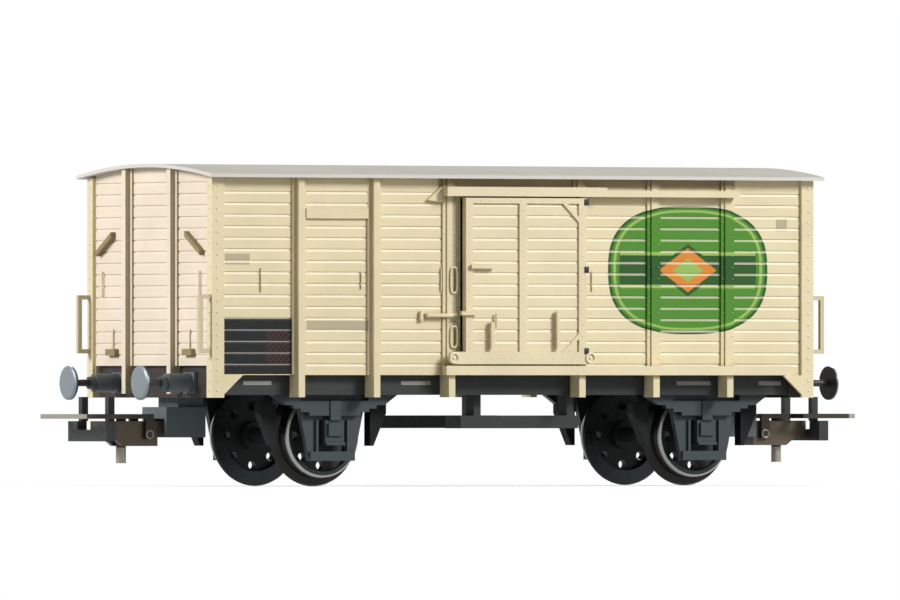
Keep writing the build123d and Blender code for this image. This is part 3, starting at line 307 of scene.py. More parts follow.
# Share of painted highlight on the sloping board edges across the sign
SIGN_HIGHLIGHT_SHARE = 0.4
WORN_GREEN = 1.12
WORN_BLACK = 1.3
PANEL_RULE = 0.88
PATCH_SCALE = 2.6
SHADE_SHARE = 0.6
LABEL_SHARE = 0.75
PANEL = (-43.6, -33.2, WALL_FOOT + 0.1, WALL_FOOT + 7.25)
PANEL_PATCH_BOX = (-37.0, -33.5, WALL_FOOT + 1.5, WALL_FOOT + 5.7)
EAVE_BAND = (-11.4, 33.4, HOOD_HIGH.z - 0.1, WALL_TOP + 1.0)
PAINT_DEPTH = 0.5
JAMB_BAND = (-9.5, -8.7, DOOR_LOW.z + 1.6, HOOD_LOW.z)
LABELS = ((-43.1, -39.4, 28.4, 29.8), (-31.0, -21.9, 19.9, 21.4), (39.7, 41.4, 33.0, 34.6))


def painted_cream(name):
    """Cream finish of the sides with their painted panels."""
    shader = Shader(name, specular=0.2)
    across = shader.math("MULTIPLY", shader.x, shader.math("MULTIPLY", shader.math("SIGN", shader.y), -1.0))
    from_middle = shader.math("SUBTRACT", across, SIGN_CENTRE[0])
    above_middle = shader.math("SUBTRACT", shader.z, SIGN_CENTRE[1])
    height = shader.math("ABSOLUTE", above_middle)
    reach = shader.math("ABSOLUTE", from_middle)
    wide = shader.math("POWER", shader.math("DIVIDE", reach, SIGN_HALF[0]), SIGN_SQUARENESS)
    high = shader.math("POWER", shader.math("DIVIDE", height, SIGN_HALF[1]), SIGN_SQUARENESS)
    radius = shader.math("POWER", shader.math("ADD", wide, high), 1 / SIGN_SQUARENESS)
    on_sign = shader.math("LESS_THAN", radius, 1.0)
    diamond = shader.math("ADD", shader.math("DIVIDE", reach, SIGN_DIAMOND[0]),
                          shader.math("DIVIDE", height, SIGN_DIAMOND[1]))
    inner = shader.math("LESS_THAN", radius, SIGN_FIELD)
    band = shader.math("MULTIPLY", inner, shader.math("LESS_THAN", height, SIGN_BAND))
    edge = shader.math("MULTIPLY", inner, shader.between(height, SIGN_BAND, SIGN_BAND + SIGN_BAND_LINE))
    sloping = shader.between(shader.tilt, *SLOPING)

    # Cloudy cream with painted shade where surfaces meet
    bare = shader.cloudy_and_corner_shaded(CREAM, CREAM_CORNER_SHADE, *SIDE_CORNER_SHADE)
    under_eave = shader.math("MULTIPLY", shader.box(across, *EAVE_BAND), SHADE_SHARE)
    colour = shader.mix(under_eave, bare, EAVE_SHADE)
    on_jamb = shader.math("MULTIPLY", shader.box(across, *JAMB_BAND), SHADE_SHARE)
    colour = shader.mix(on_jamb, colour, JAMB_SHADE)
    for label in LABELS:
        on_label = shader.math("MULTIPLY", shader.box(across, *label), LABEL_SHARE)
        colour = shader.mix(on_label, colour, LABEL_GREY)
    # Painted highlight on the sloping top edges of the boards
    colour = shader.mix(shader.math("MULTIPLY", sloping, SLOPE_HIGHLIGHT_SHARE), colour, CREAM_SLOPE_HIGHLIGHT)
    worn = shader.spread(shader.noise(WORN_SCALE, FINE_DETAIL), 0.0, 1.0)
    green = shader.mix(worn, SIGN_GREEN, scaled(SIGN_GREEN, WORN_GREEN))
    colour = shader.mix(on_sign, colour, green)
    colour = shader.mix(shader.between(radius, *SIGN_LINE), colour, SIGN_LIGHT)
    colour = shader.mix(shader.between(radius, *SIGN_EDGE), colour, SIGN_DARK)
    colour = shader.mix(band, colour, SIGN_DARK)
    colour = shader.mix(edge, colour, SIGN_LIGHT)
    colour = shader.mix(shader.math("LESS_THAN", diamond, 1.0), colour, SIGN_DARK)
    colour = shader.mix(shader.math("LESS_THAN", diamond, DIAMOND_RIM), colour, SIGN_ORANGE)
    colour = shader.mix(shader.math("LESS_THAN", diamond, DIAMOND_HEART), colour, SIGN_LIGHT)
    # Painted highlight on the sloping board edges across the sign
    sign_slope_highlight = shader.math("MULTIPLY", on_sign, shader.math("MULTIPLY", sloping, SIGN_HIGHLIGHT_SHARE))
    colour = shader.mix(sign_slope_highlight, colour, CREAM_SLOPE_HIGHLIGHT)

    ruled = shader.mix(worn, PANEL_BLACK, scaled(PANEL_BLACK, WORN_BLACK))
    dots = shader.node("ShaderNodeTexChecker", None, shader.place,
                       Color1=PANEL_PATCH, Color2=PANEL_BLACK, Scale=PATCH_SCALE)
    ruled = shader.mix(shader.box(across, *PANEL_PATCH_BOX), ruled, dots.outputs["Color"])
    boards = shader.math("DIVIDE", shader.math("SUBTRACT", shader.z, WALL_FOOT), BOARD_PITCH)
    rows = shader.math("FRACT", boards)
    ruled = shader.mix(shader.math("GREATER_THAN", rows, PANEL_RULE), ruled, PANEL_LINE)
    colour = shader.mix(shader.box(across, *PANEL), colour, ruled)
    outer = shader.math("GREATER_THAN", shader.math("ABSOLUTE", shader.y), WALL_FACE - PAINT_DEPTH)
    return shader.finish(shader.mix(outer, bare, colour), MATT, 0.25)


# Where a finish changes: the roof's by how far it leans, the others by lengths in millimetres
ROOF_EDGE_TILT = 0.75
BUFFER_FACE_DEPTH = 0.3
FLANGE_BACK = 0.25
TREAD_LINE = 0.5
TREAD_LINE_FOOT = 0.1
BAIL_CROSSBAR = 0.9
BAIL_PIN_TOP = 2.0


def roof_finish(name):
    """Grey roof, with a painted highlight that makes the edge of its eaves paler."""
    shader = Shader(name, specular=0.0)
    top = shader.cloudy_and_corner_shaded(ROOF_TOP, scaled(ROOF_TOP, 0.6), CORNER_SHADE_REACH, 0.4)
    upward = shader.math("GREATER_THAN", shader.tilt, ROOF_EDGE_TILT)
    return shader.finish(shader.mix(upward, ROOF_RIM_HIGHLIGHT, top), (0.7, 0.85), 0.3)


def buffer_finish(name):
    """Buffers with a bare face and everything behind it dark."""
    shader = Shader(name, metallic=0.3)
    dark = shader.cloudy_and_corner_shaded(BLACKENED, scaled(BLACKENED, 0.4), CORNER_SHADE_REACH, 0.5)
    bare = shader.cloudy_and_corner_shaded(BUFFER_GREY, scaled(BUFFER_GREY, 0.7), CORNER_SHADE_REACH, 0.4)
    outer = shader.math("GREATER_THAN", shader.math("ABSOLUTE", shader.x), BUFFER_HIGH.x - BUFFER_FACE_DEPTH)
    return shader.finish(shader.mix(outer, dark, bare), SMOOTH, 0.2)


def tyre_finish(name, middle):
    """Blackened tyre with a bare line along its outer edge."""
    shader = Shader(name, metallic=0.6)
    along = shader.math("SUBTRACT", shader.x, middle)
    above = shader.math("SUBTRACT", shader.z, AXLE_HEIGHT)
    radius = shader.math("SQRT", shader.math("ADD", shader.math("MULTIPLY", along, along),
                                             shader.math("MULTIPLY", above, above)))
    outside = shader.math("GREATER_THAN", shader.math("ABSOLUTE", shader.y), WHEEL_BACK + FLANGE_BACK)
    flange = shader.math("MULTIPLY", outside, shader.math("GREATER_THAN", radius, TREAD_EDGE))
    edge = shader.math("GREATER_THAN", shader.math("ABSOLUTE", shader.y), WHEEL_FACE - TREAD_LINE)
    tread = shader.math("MULTIPLY", edge, shader.math("GREATER_THAN", radius, TREAD_EDGE - TREAD_LINE_FOOT))
    colour = shader.mix(flange, WHEEL_BLACK, DULL_STEEL)
    return shader.finish(shader.mix(tread, colour, STEEL), (0.25, 0.4), 0.2)


def handrail_finish(name):
    """Cream handrails, with painted shade on the faces turned to the body."""
    shader = Shader(name, specular=0.2)
    body = shader.cloudy_and_corner_shaded(HANDRAIL_CREAM, scaled(HANDRAIL_CREAM, 0.6), CORNER_SHADE_REACH, PLAIN_CORNER_SHADE)
    outward = shader.math("MULTIPLY", shader.lean, shader.math("SIGN", shader.x))
    # Painted shade on the faces turned towards the body
    inner = shader.math("LESS_THAN", outward, -FACING)
    return shader.finish(shader.mix(inner, body, CREAM_IN_SHADE), MATT, 0.25)


def bail_finish(name):
    """Dark loop with a rubbed crossbar at its outer end."""
    shader = Shader(name, metallic=0.5)
    dark = shader.cloudy_and_corner_shaded(BAIL_BROWN, scaled(BAIL_BROWN, 0.4), CORNER_SHADE_REACH, 0.5)
    outer = shader.math("GREATER_THAN", shader.math("ABSOLUTE", shader.x), BAIL_HIGH.x - BAIL_CROSSBAR)
    pin = shader.math("LESS_THAN", shader.z, BAIL_LOW.z + BAIL_PIN_TOP)
    bare = shader.math("MAXIMUM", outer, pin)
    return shader.finish(shader.mix(bare, dark, RUBBED), SMOOTH, 0.3)


cream = boarded("cream_moulding", CREAM, SLOPE_HIGHLIGHT_SHARE)
# The door's lighter cream is painted light
door_cream_lit = boarded("door_moulding", DOOR_CREAM_LIT, SLOPE_HIGHLIGHT_SHARE)
end_cream = boarded("end_moulding", END_CREAM, 0.0)
# End posts with painted shade on their flanks
end_post_cream = boarded("end_post_moulding", END_CREAM, 0.0, SHADED_CREAM)
handrail_cream = handrail_finish("handrail_moulding")
# Grab bars and lamp brackets take the cream in painted shade
cream_in_shade = plain("cream_in_shade", CREAM_IN_SHADE, 0.6, MATT, 0.25, specular=0.2)
slate = plain("slate_moulding", SLATE, 0.45, SATIN, 0.3, specular=0.2)
fitting_slate = plain("fitting_moulding", FITTING_SLATE, 0.4, SATIN, 0.3, specular=0.25)
guard_slate = plain("guard_moulding", GUARD_SLATE, 0.4, SATIN, 0.3, specular=0.25)
headstock_brown = plain("headstock_moulding", HEADSTOCK_BROWN, 0.5, (0.45, 0.6), 0.3, specular=0.2)
shoe_black = plain("shoe_moulding", SHOE_BLACK, 0.5, DULL, 0.3, specular=0.1)
plate_grey = plain("plate_paint", PLATE_GREY, 0.6, DULL, 0.2, specular=0.2)
wheel_black = plain("wheel_moulding", WHEEL_BLACK, 0.5, SMOOTH, 0.3, specular=0.25)
roof_grey = roof_finish("roof_moulding")
buffer_grey = buffer_finish("buffer_paint")
browned = plain("browned_metal", BROWNED, 0.4, SMOOTH, 0.3, metallic=0.4)
bail_metal = bail_finish("bail_metal")
rubbed_metal = plain("rubbed_metal", RUBBED, 0.5, SMOOTH, 0.3, metallic=0.5)
ballast_steel = plain("ballast_plate", BALLAST_GREY, 0.5, (0.3, 0.5), 0.3, metallic=1.0)
painted = painted_cream("painted_cream")

SLOT_FINISH = {
    "cream_plastic": cream,
    "black_plastic": slate,
    "grey_roof": roof_grey,
    "ballast_steel": ballast_steel,
    "buffer_grey": buffer_grey,
    "wheel_steel": wheel_black,
    "coupler_metal": browned,
    "bail_metal": bail_metal,
}
NODE_FINISH = {
    "side_wall_near": painted, "side_wall_far": painted,
    "side_posts_near": painted, "side_posts_far": painted, "vent_hatches": painted,
    "end_wall_left": end_cream, "end_wall_right": end_cream,
    "end_posts_left": end_post_cream, "end_posts_right": end_post_cream,
    "end_grab_bars": cream_in_shade, "lamp_brackets": cream_in_shade,
    "corner_handrails": handrail_cream, "buffer_housings": fitting_slate, "brake_shoes": shoe_black,
    "coupler_pocket_left": fitting_slate, "coupler_pocket_right": fitting_slate,
    "headstock_left": headstock_brown, "headstock_right": headstock_brown,
    "axle_guards": guard_slate, "axle_boxes": guard_slate, "leaf_springs": guard_slate,
    "wheel_tyres_left": tyre_finish("tyre_left", TYRE_MIDDLES["left"]),
    "wheel_tyres_right": tyre_finish("tyre_right", TYRE_MIDDLES["right"]),
}
for side_name, side in SIDES:
    for node in ("door_panel", "door_frame", "door_handles", "upper_door_rail", "lower_door_rail"):
        NODE_FINISH[f"{node}_{side_name}"] = door_cream_lit
for row in frame["record"]["subparts"]:
    finish = NODE_FINISH.get(row["node"], SLOT_FINISH[row["material_slot"]])
    nodes[row["node"]].data.materials.clear()
    nodes[row["node"]].data.materials.append(finish)


# Shapes


def block(shape, low, high, bevel=0.0):
    """Add a box between two corners, with rounded edges."""
    corners = bmesh.ops.create_cube(shape, size=1.0)["verts"]
    middle = [(a + b) / 2 for a, b in zip(low, high)]
    size = [abs(b - a) for a, b in zip(low, high)]
    bmesh.ops.scale(shape, vec=size, verts=corners)
    bmesh.ops.translate(shape, vec=middle, verts=corners)
    if bevel:
        edges = list({edge for corner in corners for edge in corner.link_edges})
        bmesh.ops.bevel(shape, geom=edges, offset=bevel, segments=2, affect="EDGES", profile=0.5)


def ring_points(centre, first, second, radius, count):
    """Points on a circle that two directions span."""
    turns = [2 * math.pi * index / count for index in range(count)]
    return [centre + radius * (math.cos(turn) * first + math.sin(turn) * second) for turn in turns]


def skin(shape, rings, closed=False):
    """Join rings of points into a tube, with flat ends unless it is closed on itself."""
    loops = [[shape.verts.new(point) for point in ring] for ring in rings]
    pairs = list(zip(loops, loops[1:])) + ([(loops[-1], loops[0])] if closed else [])
    for lower, upper in pairs:
        for index in range(len(lower)):
            following = (index + 1) % len(lower)
            shape.faces.new((lower[index], lower[following], upper[following], upper[index]))
    if not closed:
        shape.faces.new(loops[0])
        shape.faces.new(loops[-1])


def wire(shape, route, radius, count=10):
    """Add a round bar along straight runs, mitred at its corners."""
    points = [Vector(point) for point in route]
    runs = [(b - a).normalized() for a, b in zip(points, points[1:])]
    axes = [Vector(axis) for axis in ((1, 0, 0), (0, 1, 0), (0, 0, 1))]
    upright = min(axes, key=lambda axis: abs(axis.dot(runs[0])))
    first = runs[0].cross(upright).normalized()
    rings = []
    for index, point in enumerate(points):
        before = runs[max(index - 1, 0)]
        after = runs[min(index, len(runs) - 1)]
        if index:
            first = before.rotation_difference(runs[index - 1]) @ first
        section = ring_points(Vector(), first, before.cross(first), radius, count)
        normal = (before + after).normalized()
        rings.append([point + offset - before * (offset.dot(normal) / before.dot(normal))
                      for offset in section])
        first = before.rotation_difference(after) @ first
    skin(shape, rings)


# Rivet heads as height and width, both as shares of their radius
DOME_PROFILE = ((-0.3, 1.0), (0.15, 1.0), (0.48, 0.62), (0.6, 0.2))


def dome(shape, centre, normal, radius, count=8):
    """Add a rivet head on a surface."""
    outward = Vector(normal)
    first = outward.orthogonal().normalized()
    second = outward.cross(first)
    rings = [ring_points(Vector(centre) + outward * radius * rise, first, second, radius * share, count)
             for rise, share in DOME_PROFILE]
    skin(shape, rings)


def ring(shape, centre, first, second, radius, squareness=1.0, count=28):
    """Add a closed round bar along an oval, or a rounded slot where the squareness is under 1."""
    normal = first.cross(second).normalized()
    points = []
    for index in range(count):
        turn = 2 * math.pi * index / count
        shares = [math.copysign(abs(share) ** squareness, share)
                  for share in (math.cos(turn), math.sin(turn))]
        points.append(centre + first * shares[0] + second * shares[1])
    loops = []
    for index, point in enumerate(points):
        along = (points[(index + 1) % count] - points[index - 1]).normalized()
        loops.append(ring_points(point, normal, along.cross(normal), radius, 8))
    skin(shape, loops, closed=True)


def outside(side, across, depth, height):
    """A point on one side, its distance to the right as seen from outside."""
    return (-side * across, side * depth, height)


def wedge(shape, side, corners, back, front):
    """Add a plate on one side wall, its corners as distance to the right and height."""
    skin(shape, [[Vector(outside(side, place, depth, height)) for place, height in corners]
                 for depth in (back, front)])


def piece(name, shape, body, finish, smooth=True):
    """Make a piece that rides on a body from a shape drawn in millimetres."""
    bmesh.ops.scale(shape, vec=(MM, MM, MM), verts=shape.verts)
    bmesh.ops.recalc_face_normals(shape, faces=shape.faces)
    mesh = bpy.data.meshes.new(name)
    shape.to_mesh(mesh)
    shape.free()
    mesh.materials.append(finish)
    made = bpy.data.objects.new(name, mesh)
    bpy.context.scene.collection.objects.link(made)
    if smooth:
        mesh.shade_smooth()
        mesh.set_sharp_from_angle(angle=math.radians(35))
    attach(made, body)
    return made


# Rounded edges on the moulded nodes, so that they catch the light
ROUNDED = {
    "corner_posts": 0.08, "corner_handrails": 0.1, "lamp_brackets": 0.1, "roof": 0.12, "solebars": 0.12,
    "axle_boxes": 0.12, "leaf_springs": 0.08, "axle_guards": 0.08, "brake_shoes": 0.12,
    "buffer_housings": 0.12, "vent_hatches": 0.06, "buffer_heads": 0.08,
}
ROUNDED_BY_SIDE = {
    "side_posts": 0.08, "lower_door_rail": 0.12, "upper_door_rail": 0.12, "door_frame": 0.06,
    "step_board": 0.15,
}
ROUNDED_BY_END = {
    "end_posts": 0.1, "headstock": 0.12, "coupler_pocket": 0.1, "coupler_shank": 0.12, "coupler_head": 0.12,
    "coupler_bail": 0.1, "wheel_discs": 0.1, "wheel_tyres": 0.08,
}
ROUNDED_SEGMENTS = 2
ROUNDED_ANGLE = math.radians(40)
for places, widths in ((SIDES, ROUNDED_BY_SIDE), (ENDS, ROUNDED_BY_END)):
    for place_name, _ in places:
        for node, width in widths.items():
            ROUNDED[f"{node}_{place_name}"] = width
for node, width in ROUNDED.items():
    bevel = nodes[node].modifiers.new("rounded", "BEVEL")
    bevel.width = width * MM
    bevel.segments = ROUNDED_SEGMENTS
    bevel.limit_method = "ANGLE"
    bevel.angle_limit = ROUNDED_ANGLE
    bevel.harden_normals = False


# Rivets: one to each board on the corner angles, posts and door stiles
CORNER_RIVET = 0.17
RIVET = 0.12
CORNER_RIVET_INSET = 0.75
CORNER_FOOT_RIVETS = (WALL_FOOT - 2.0, WALL_FOOT - 0.8)
POST_RIVET_OFFSET = 0.74
POST_PLACES = (-32.2, -21.0, -9.8, 9.8, 21.0, 32.2)
END_POST_PLACES = (-5.75, 5.75)
FLANGE_PROUD = 0.25
FLANGE_FACE = WALL_FACE + FLANGE_PROUD
END_FLANGE_FACE = END_FACE + FLANGE_PROUD

shape = bmesh.new()
for side_name, side in SIDES:
    for end_name, end in ENDS:
        for height in [*CORNER_FOOT_RIVETS, *BOARD_MIDDLES]:
            along = end * (CORNER_HIGH.x - CORNER_RIVET_INSET)
            across = side * (CORNER_HIGH.y - CORNER_RIVET_INSET)
            dome(shape, (along, side * CORNER_HIGH.y, height), (0, side, 0), CORNER_RIVET)
            dome(shape, (end * CORNER_HIGH.x, across, height), (end, 0, 0), CORNER_RIVET)
    for place in POST_PLACES:
        for height in BOARD_MIDDLES:
            for hand in (-1, 1):
                spot = (-side * place + hand * POST_RIVET_OFFSET, side * FLANGE_FACE, height)
                dome(shape, spot, (0, side, 0), RIVET)
piece("body_rivets", shape, "wagon", painted)

shape = bmesh.new()
for end_name, end in ENDS:
    for place in END_POST_PLACES:
        for height in BOARD_MIDDLES[1:]:
            for hand in (-1, 1):
                spot = (end * END_FLANGE_FACE, place + hand * POST_RIVET_OFFSET, height)
                dome(shape, spot, (end, 0, 0), RIVET)
piece("end_rivets", shape, "wagon", end_cream)

MIDDLE_STILE_SHIFT = 0.45
STILE_MIDDLE = 0.55
LEDGER_MIDDLE = 0.8
TOP_RAIL_MIDDLE = 0.35
RAIL_RIVETS = 10
RAIL_RIVET_START = 2.2
RAIL_RIVET_PITCH = 1.55
MIDDLE_STILE = (DOOR_LOW.x + DOOR_HIGH.x) / 2 - MIDDLE_STILE_SHIFT
STILE_PLACES = (DOOR_LOW.x + STILE_MIDDLE, MIDDLE_STILE, DOOR_HIGH.x - STILE_MIDDLE)
LEDGER_HEIGHT = FRAME_LOW.z + LEDGER_MIDDLE
TOP_RAIL_HEIGHT = FRAME_HIGH.z - TOP_RAIL_MIDDLE
for side_name, side in SIDES:
    shape = bmesh.new()
    for place in STILE_PLACES:
        for height in BOARD_MIDDLES[2:15]:
            dome(shape, outside(side, place, FRAME_FACE, height), (0, side, 0), RIVET)
    for index in range(RAIL_RIVETS):
        place = DOOR_LOW.x + RAIL_RIVET_START + index * RAIL_RIVET_PITCH
        dome(shape, outside(side, place, FRAME_FACE, LEDGER_HEIGHT), (0, side, 0), RIVET)
        dome(shape, outside(side, place, FRAME_FACE, TOP_RAIL_HEIGHT), (0, side, 0), RIVET)
    piece(f"door_rivets_{side_name}", shape, f"door_{side_name}", door_cream_lit)

# Door fittings: rollers at the ends of the ledger, a latch lever, and dark blocks along the closing edge,
# painted shade for dark gaps
GAP_SHADE_HEIGHTS = (17.4, 27.9, 36.6)
GAP_SHADE_HALF_HEIGHT = 0.4
GAP_SHADE_INSIDE = 0.3
GAP_SHADE_OUTSIDE = 0.35
GAP_SHADE_PROUD = 0.12
GAP_SHADE_ROUNDING = 0.06
ROLLER_INSET = 0.8
ROLLER_RADIUS = 0.62
ROLLER_BAR = 0.17
ROLLER_PROUD = 0.05
ROLLER_HUB = 0.26
LEVER_PLACE = -3.6
LEVER_ENDS = (22.2, 20.3)
LEVER_PROUD = 0.12
LEVER_RADIUS = 0.16
SUNK = 0.1
for side_name, side in SIDES:
    shape = bmesh.new()
    for place in (FRAME_LOW.x + ROLLER_INSET, FRAME_HIGH.x - ROLLER_INSET):
        centre = Vector(outside(side, place, FRAME_FACE + ROLLER_PROUD, LEDGER_HEIGHT))
        ring(shape, centre, Vector((ROLLER_RADIUS, 0, 0)), Vector((0, 0, ROLLER_RADIUS)), ROLLER_BAR)
        dome(shape, outside(side, place, FRAME_FACE, LEDGER_HEIGHT), (0, side, 0), ROLLER_HUB)
    lever = [outside(side, LEVER_PLACE, FRAME_FACE + LEVER_PROUD, height) for height in LEVER_ENDS]
    wire(shape, lever, LEVER_RADIUS)
    piece(f"door_rollers_{side_name}", shape, f"door_{side_name}", door_cream_lit)
    shape = bmesh.new()
    # Dark blocks: painted shade for the dark gaps at the closing edge
    for height in GAP_SHADE_HEIGHTS:
        low = outside(side, DOOR_HIGH.x - GAP_SHADE_INSIDE, FRAME_FACE - SUNK, height - GAP_SHADE_HALF_HEIGHT)
        high = outside(side, DOOR_HIGH.x + GAP_SHADE_OUTSIDE, FRAME_FACE + GAP_SHADE_PROUD, height + GAP_SHADE_HALF_HEIGHT)
        block(shape, low, high, GAP_SHADE_ROUNDING)
    piece(f"door_gap_shades_{side_name}", shape, f"door_{side_name}", slate)

# Fittings on the side walls: chain links on the jamb post as height and half length, latch and its keeper,
# hood bracket and upright irons
LINKS = ((26.5, 1.65), (19.2, 1.35))
LINK_PLACE = -9.35
LINK_HALF_WIDTH = 0.45
LINK_BAR = 0.15
LINK_PROUD = 0.12
LINK_SQUARENESS = 0.55
JAMB_PROUD = 0.45
JAMB_FACE = WALL_FACE + JAMB_PROUD
# Latch and keeper as left, right, foot, top and face; bracket corners as distance to the right and height
LATCH = (-13.5, -9.0, 21.75, 22.2, JAMB_FACE + 0.45)
KEEPER = (-14.3, -13.8, 21.2, 22.5, WALL_FACE + 0.5)
FITTING_ROUNDING = 0.1
BRACKET = ((-13.2, 36.8), (-11.0, 36.5), (-11.0, 38.6))
BRACKET_PROUD = 0.55
# Irons as distance to the right, foot and top
IRON_PLACES = ((-37.8, 25.0, 27.9), (-22.9, 25.4, 27.5), (-11.0, 25.1, 28.0), (11.7, 25.2, 27.6))
IRON_PROUD = 0.15
IRON_RADIUS = 0.09
IRON_ROOT = 0.2
for side_name, side in SIDES:
    shape = bmesh.new()
    for height, half in LINKS:
        centre = Vector(outside(side, LINK_PLACE, JAMB_FACE + LINK_PROUD, height))
        ring(shape, centre, Vector((0, 0, half)), Vector((LINK_HALF_WIDTH, 0, 0)), LINK_BAR, LINK_SQUARENESS)
    for left, right, foot, top, face in (LATCH, KEEPER):
        low = outside(side, left, WALL_FACE - SUNK, foot)
        block(shape, low, outside(side, right, face, top), FITTING_ROUNDING)
    wedge(shape, side, BRACKET, WALL_FACE - SUNK, WALL_FACE + BRACKET_PROUD)
    for place, foot, top in IRON_PLACES:
        route = ((-IRON_ROOT, foot), (IRON_PROUD, foot), (IRON_PROUD, top), (-IRON_ROOT, top))
        wire(shape, [outside(side, place, WALL_FACE + proud, height) for proud, height in route], IRON_RADIUS)
    piece(f"side_fittings_{side_name}", shape, "wagon", painted)

# Blank plates along the solebars, as middle and length
PLATES = ((-37.5, 4.2), (-13.9, 4.4), (28.0, 5.2), (39.6, 3.4))
PLATE_FOOT = WALL_FOOT - 1.3
PLATE_TOP = WALL_FOOT - 0.75
PLATE_PROUD = 0.08
PLATE_ROUNDING = 0.04
shape = bmesh.new()
for side_name, side in SIDES:
    for place, length in PLATES:
        block(shape, outside(side, place - length / 2, SOLEBAR_HIGH.y - SUNK, PLATE_FOOT),
              outside(side, place + length / 2, SOLEBAR_HIGH.y + PLATE_PROUD, PLATE_TOP), PLATE_ROUNDING)
piece("solebar_plates", shape, "wagon", plate_grey)

# Fittings on the ends: upright irons, and a wire over each lamp bracket
END_IRONS = (-12.4, 12.4)
END_IRON_FOOT = 24.5
END_IRON_TOP = 27.5
END_IRON_PROUD = 0.25
END_IRON_RADIUS = 0.11
LAMP_WIRES = (-9.8, 9.8)
LAMP_WIRE_ENDS = (16.8, 20.2)
LAMP_WIRE_PROUD = 0.12
LAMP_WIRE_RADIUS = 0.13
shape = bmesh.new()
for end_name, end in ENDS:
    for place in END_IRONS:
        route = ((-IRON_ROOT, END_IRON_FOOT), (END_IRON_PROUD, END_IRON_FOOT),
                 (END_IRON_PROUD, END_IRON_TOP), (-IRON_ROOT, END_IRON_TOP))
        wire(shape, [(end * (END_FACE + proud), place, height) for proud, height in route], END_IRON_RADIUS)
    for place in LAMP_WIRES:
        wire(shape, [(end * (END_FACE + LAMP_WIRE_PROUD), place, height) for height in LAMP_WIRE_ENDS],
             LAMP_WIRE_RADIUS)
piece("end_fittings", shape, "wagon", end_cream)

# Bare rings round the pins of the bails
EYE_HEIGHT = 6.7
EYE_RADIUS = 0.5
EYE_BAR = 0.11
LUG_FACE = 2.25
EYE_REACH = 46.4
for end_name, end in ENDS:
    shape = bmesh.new()
    for side_name, side in SIDES:
        centre = Vector((end * EYE_REACH, side * LUG_FACE, EYE_HEIGHT))
        ring(shape, centre, Vector((EYE_RADIUS, 0, 0)), Vector((0, 0, EYE_RADIUS)), EYE_BAR)
    piece(f"bail_eyes_{end_name}", shape, f"bail_{end_name}", rubbed_metal)


# Camera at the photograph's viewing angle, with the image taken as 900 wide
CAMERA_PLACE = Vector((-1.32918, -2.2216, 0.01174))
CAMERA_TARGET = Vector((-0.00025, 0.0, 0.02404))
FOCAL_PIXELS = 20000.0
IMAGE_WIDTH = 900
SENSOR_WIDTH = 36.0
CLIP_END = 100.0

camera_data = bpy.data.cameras.new("camera")
camera_data.sensor_width = SENSOR_WIDTH
camera_data.lens = FOCAL_PIXELS / IMAGE_WIDTH * SENSOR_WIDTH
camera_data.clip_end = CLIP_END
camera = bpy.data.objects.new("camera", camera_data)
camera.location = CAMERA_PLACE
camera.rotation_mode = "QUATERNION"
camera.rotation_quaternion = (CAMERA_TARGET - CAMERA_PLACE).to_track_quat("-Z", "Y")
bpy.context.scene.collection.objects.link(camera)
bpy.context.scene.camera = camera


# Soft lamps: name, place and width in metres, and power in watts
BODY_MIDDLE = (0.0, 0.0, 0.024)
LAMPS = (
    ("key", (0.44, -0.66, 0.48), 0.26, 7.6),
    ("end_lamp", (-0.72, 0.16, 0.36), 0.26, 5.4),
    ("back_lamp", (0.46, 0.74, 0.46), 0.40, 6.0),
)
for name, place, width, power in LAMPS:
    lamp_data = bpy.data.lights.new(name, "AREA")
    lamp_data.size = width
    lamp_data.energy = power
    lamp = bpy.data.objects.new(name, lamp_data)
    lamp.location = place
    lamp.rotation_mode = "QUATERNION"
    lamp.rotation_quaternion = (Vector(BODY_MIDDLE) - Vector(place)).to_track_quat("-Z", "Y")
    bpy.context.scene.collection.objects.link(lamp)


def seen_directly(tree):
    """Share of rays that come straight from the camera, a mirror or through glass."""
    path = tree.nodes.new("ShaderNodeLightPath")
    total = path.outputs["Is Camera Ray"]
    for name in ("Is Glossy Ray", "Is Transmission Ray"):
        largest = tree.nodes.new("ShaderNodeMath")
        largest.operation = "MAXIMUM"
        tree.links.new(total, largest.inputs[0])
        tree.links.new(path.outputs[name], largest.inputs[1])
        total = largest.outputs["Value"]
    return total


# White surroundings, with a plain soft light on the object
AMBIENT = 0.26
world = bpy.data.worlds.new("surroundings")
bpy.context.scene.world = world
world.use_nodes = True
tree = world.node_tree
strength = tree.nodes.new("ShaderNodeMapRange")
strength.inputs["To Min"].default_value = AMBIENT
strength.inputs["To Max"].default_value = 1.0
tree.links.new(seen_directly(tree), strength.inputs["Value"])
tree.nodes["Background"].inputs["Color"].default_value = (1.0, 1.0, 1.0, 1.0)
tree.links.new(strength.outputs["Result"], tree.nodes["Background"].inputs["Strength"])


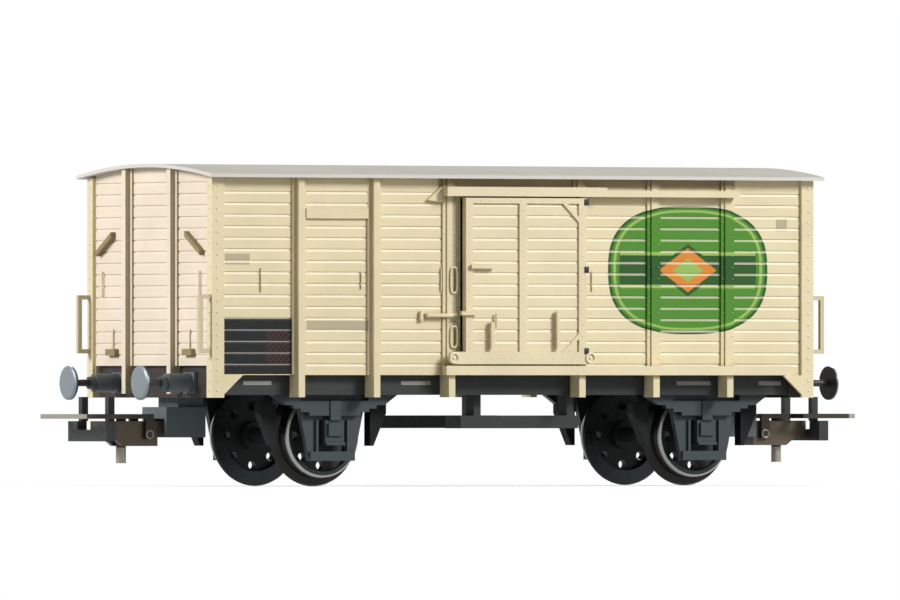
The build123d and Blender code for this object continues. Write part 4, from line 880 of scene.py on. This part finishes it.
# Pale floor that fades out round its edge and keeps the shadow
FLOOR_RADIUS = 0.24
FLOOR_FADE = 0.12
FLOOR_SEGMENTS = 96
FLOOR_GLOW = 0.6
FLOOR_COLOUR = (0.4, 0.4, 0.4, 1.0)
floor_mesh = bpy.data.meshes.new("floor")
shape = bmesh.new()
bmesh.ops.create_circle(shape, cap_ends=True, radius=FLOOR_RADIUS, segments=FLOOR_SEGMENTS)
shape.to_mesh(floor_mesh)
shape.free()
floor = bpy.data.objects.new("floor_stage", floor_mesh)
bpy.context.scene.collection.objects.link(floor)
floor_material = bpy.data.materials.new("pale_floor")
floor_material.use_nodes = True
tree = floor_material.node_tree
tree.nodes.remove(tree.nodes["Principled BSDF"])
diffuse = tree.nodes.new("ShaderNodeBsdfDiffuse")
diffuse.inputs["Color"].default_value = FLOOR_COLOUR
glow = tree.nodes.new("ShaderNodeEmission")
glow_strength = tree.nodes.new("ShaderNodeMath")
glow_strength.operation = "MULTIPLY"
glow_strength.inputs[1].default_value = FLOOR_GLOW
tree.links.new(seen_directly(tree), glow_strength.inputs[0])
tree.links.new(glow_strength.outputs["Value"], glow.inputs["Strength"])
lit = tree.nodes.new("ShaderNodeAddShader")
tree.links.new(diffuse.outputs["BSDF"], lit.inputs[0])
tree.links.new(glow.outputs["Emission"], lit.inputs[1])
length = tree.nodes.new("ShaderNodeVectorMath")
length.operation = "LENGTH"
tree.links.new(tree.nodes.new("ShaderNodeTexCoord").outputs["Object"], length.inputs[0])
fade = tree.nodes.new("ShaderNodeMapRange")
fade.interpolation_type = "SMOOTHSTEP"
fade.inputs["From Min"].default_value = FLOOR_FADE
fade.inputs["From Max"].default_value = FLOOR_RADIUS
tree.links.new(length.outputs["Value"], fade.inputs["Value"])
blend = tree.nodes.new("ShaderNodeMixShader")
tree.links.new(fade.outputs["Result"], blend.inputs["Fac"])
tree.links.new(lit.outputs["Shader"], blend.inputs[1])
tree.links.new(tree.nodes.new("ShaderNodeBsdfTransparent").outputs["BSDF"], blend.inputs[2])
tree.links.new(blend.outputs["Shader"], tree.nodes["Material Output"].inputs["Surface"])
floor_mesh.materials.append(floor_material)

bpy.context.scene.view_settings.view_transform = "Standard"
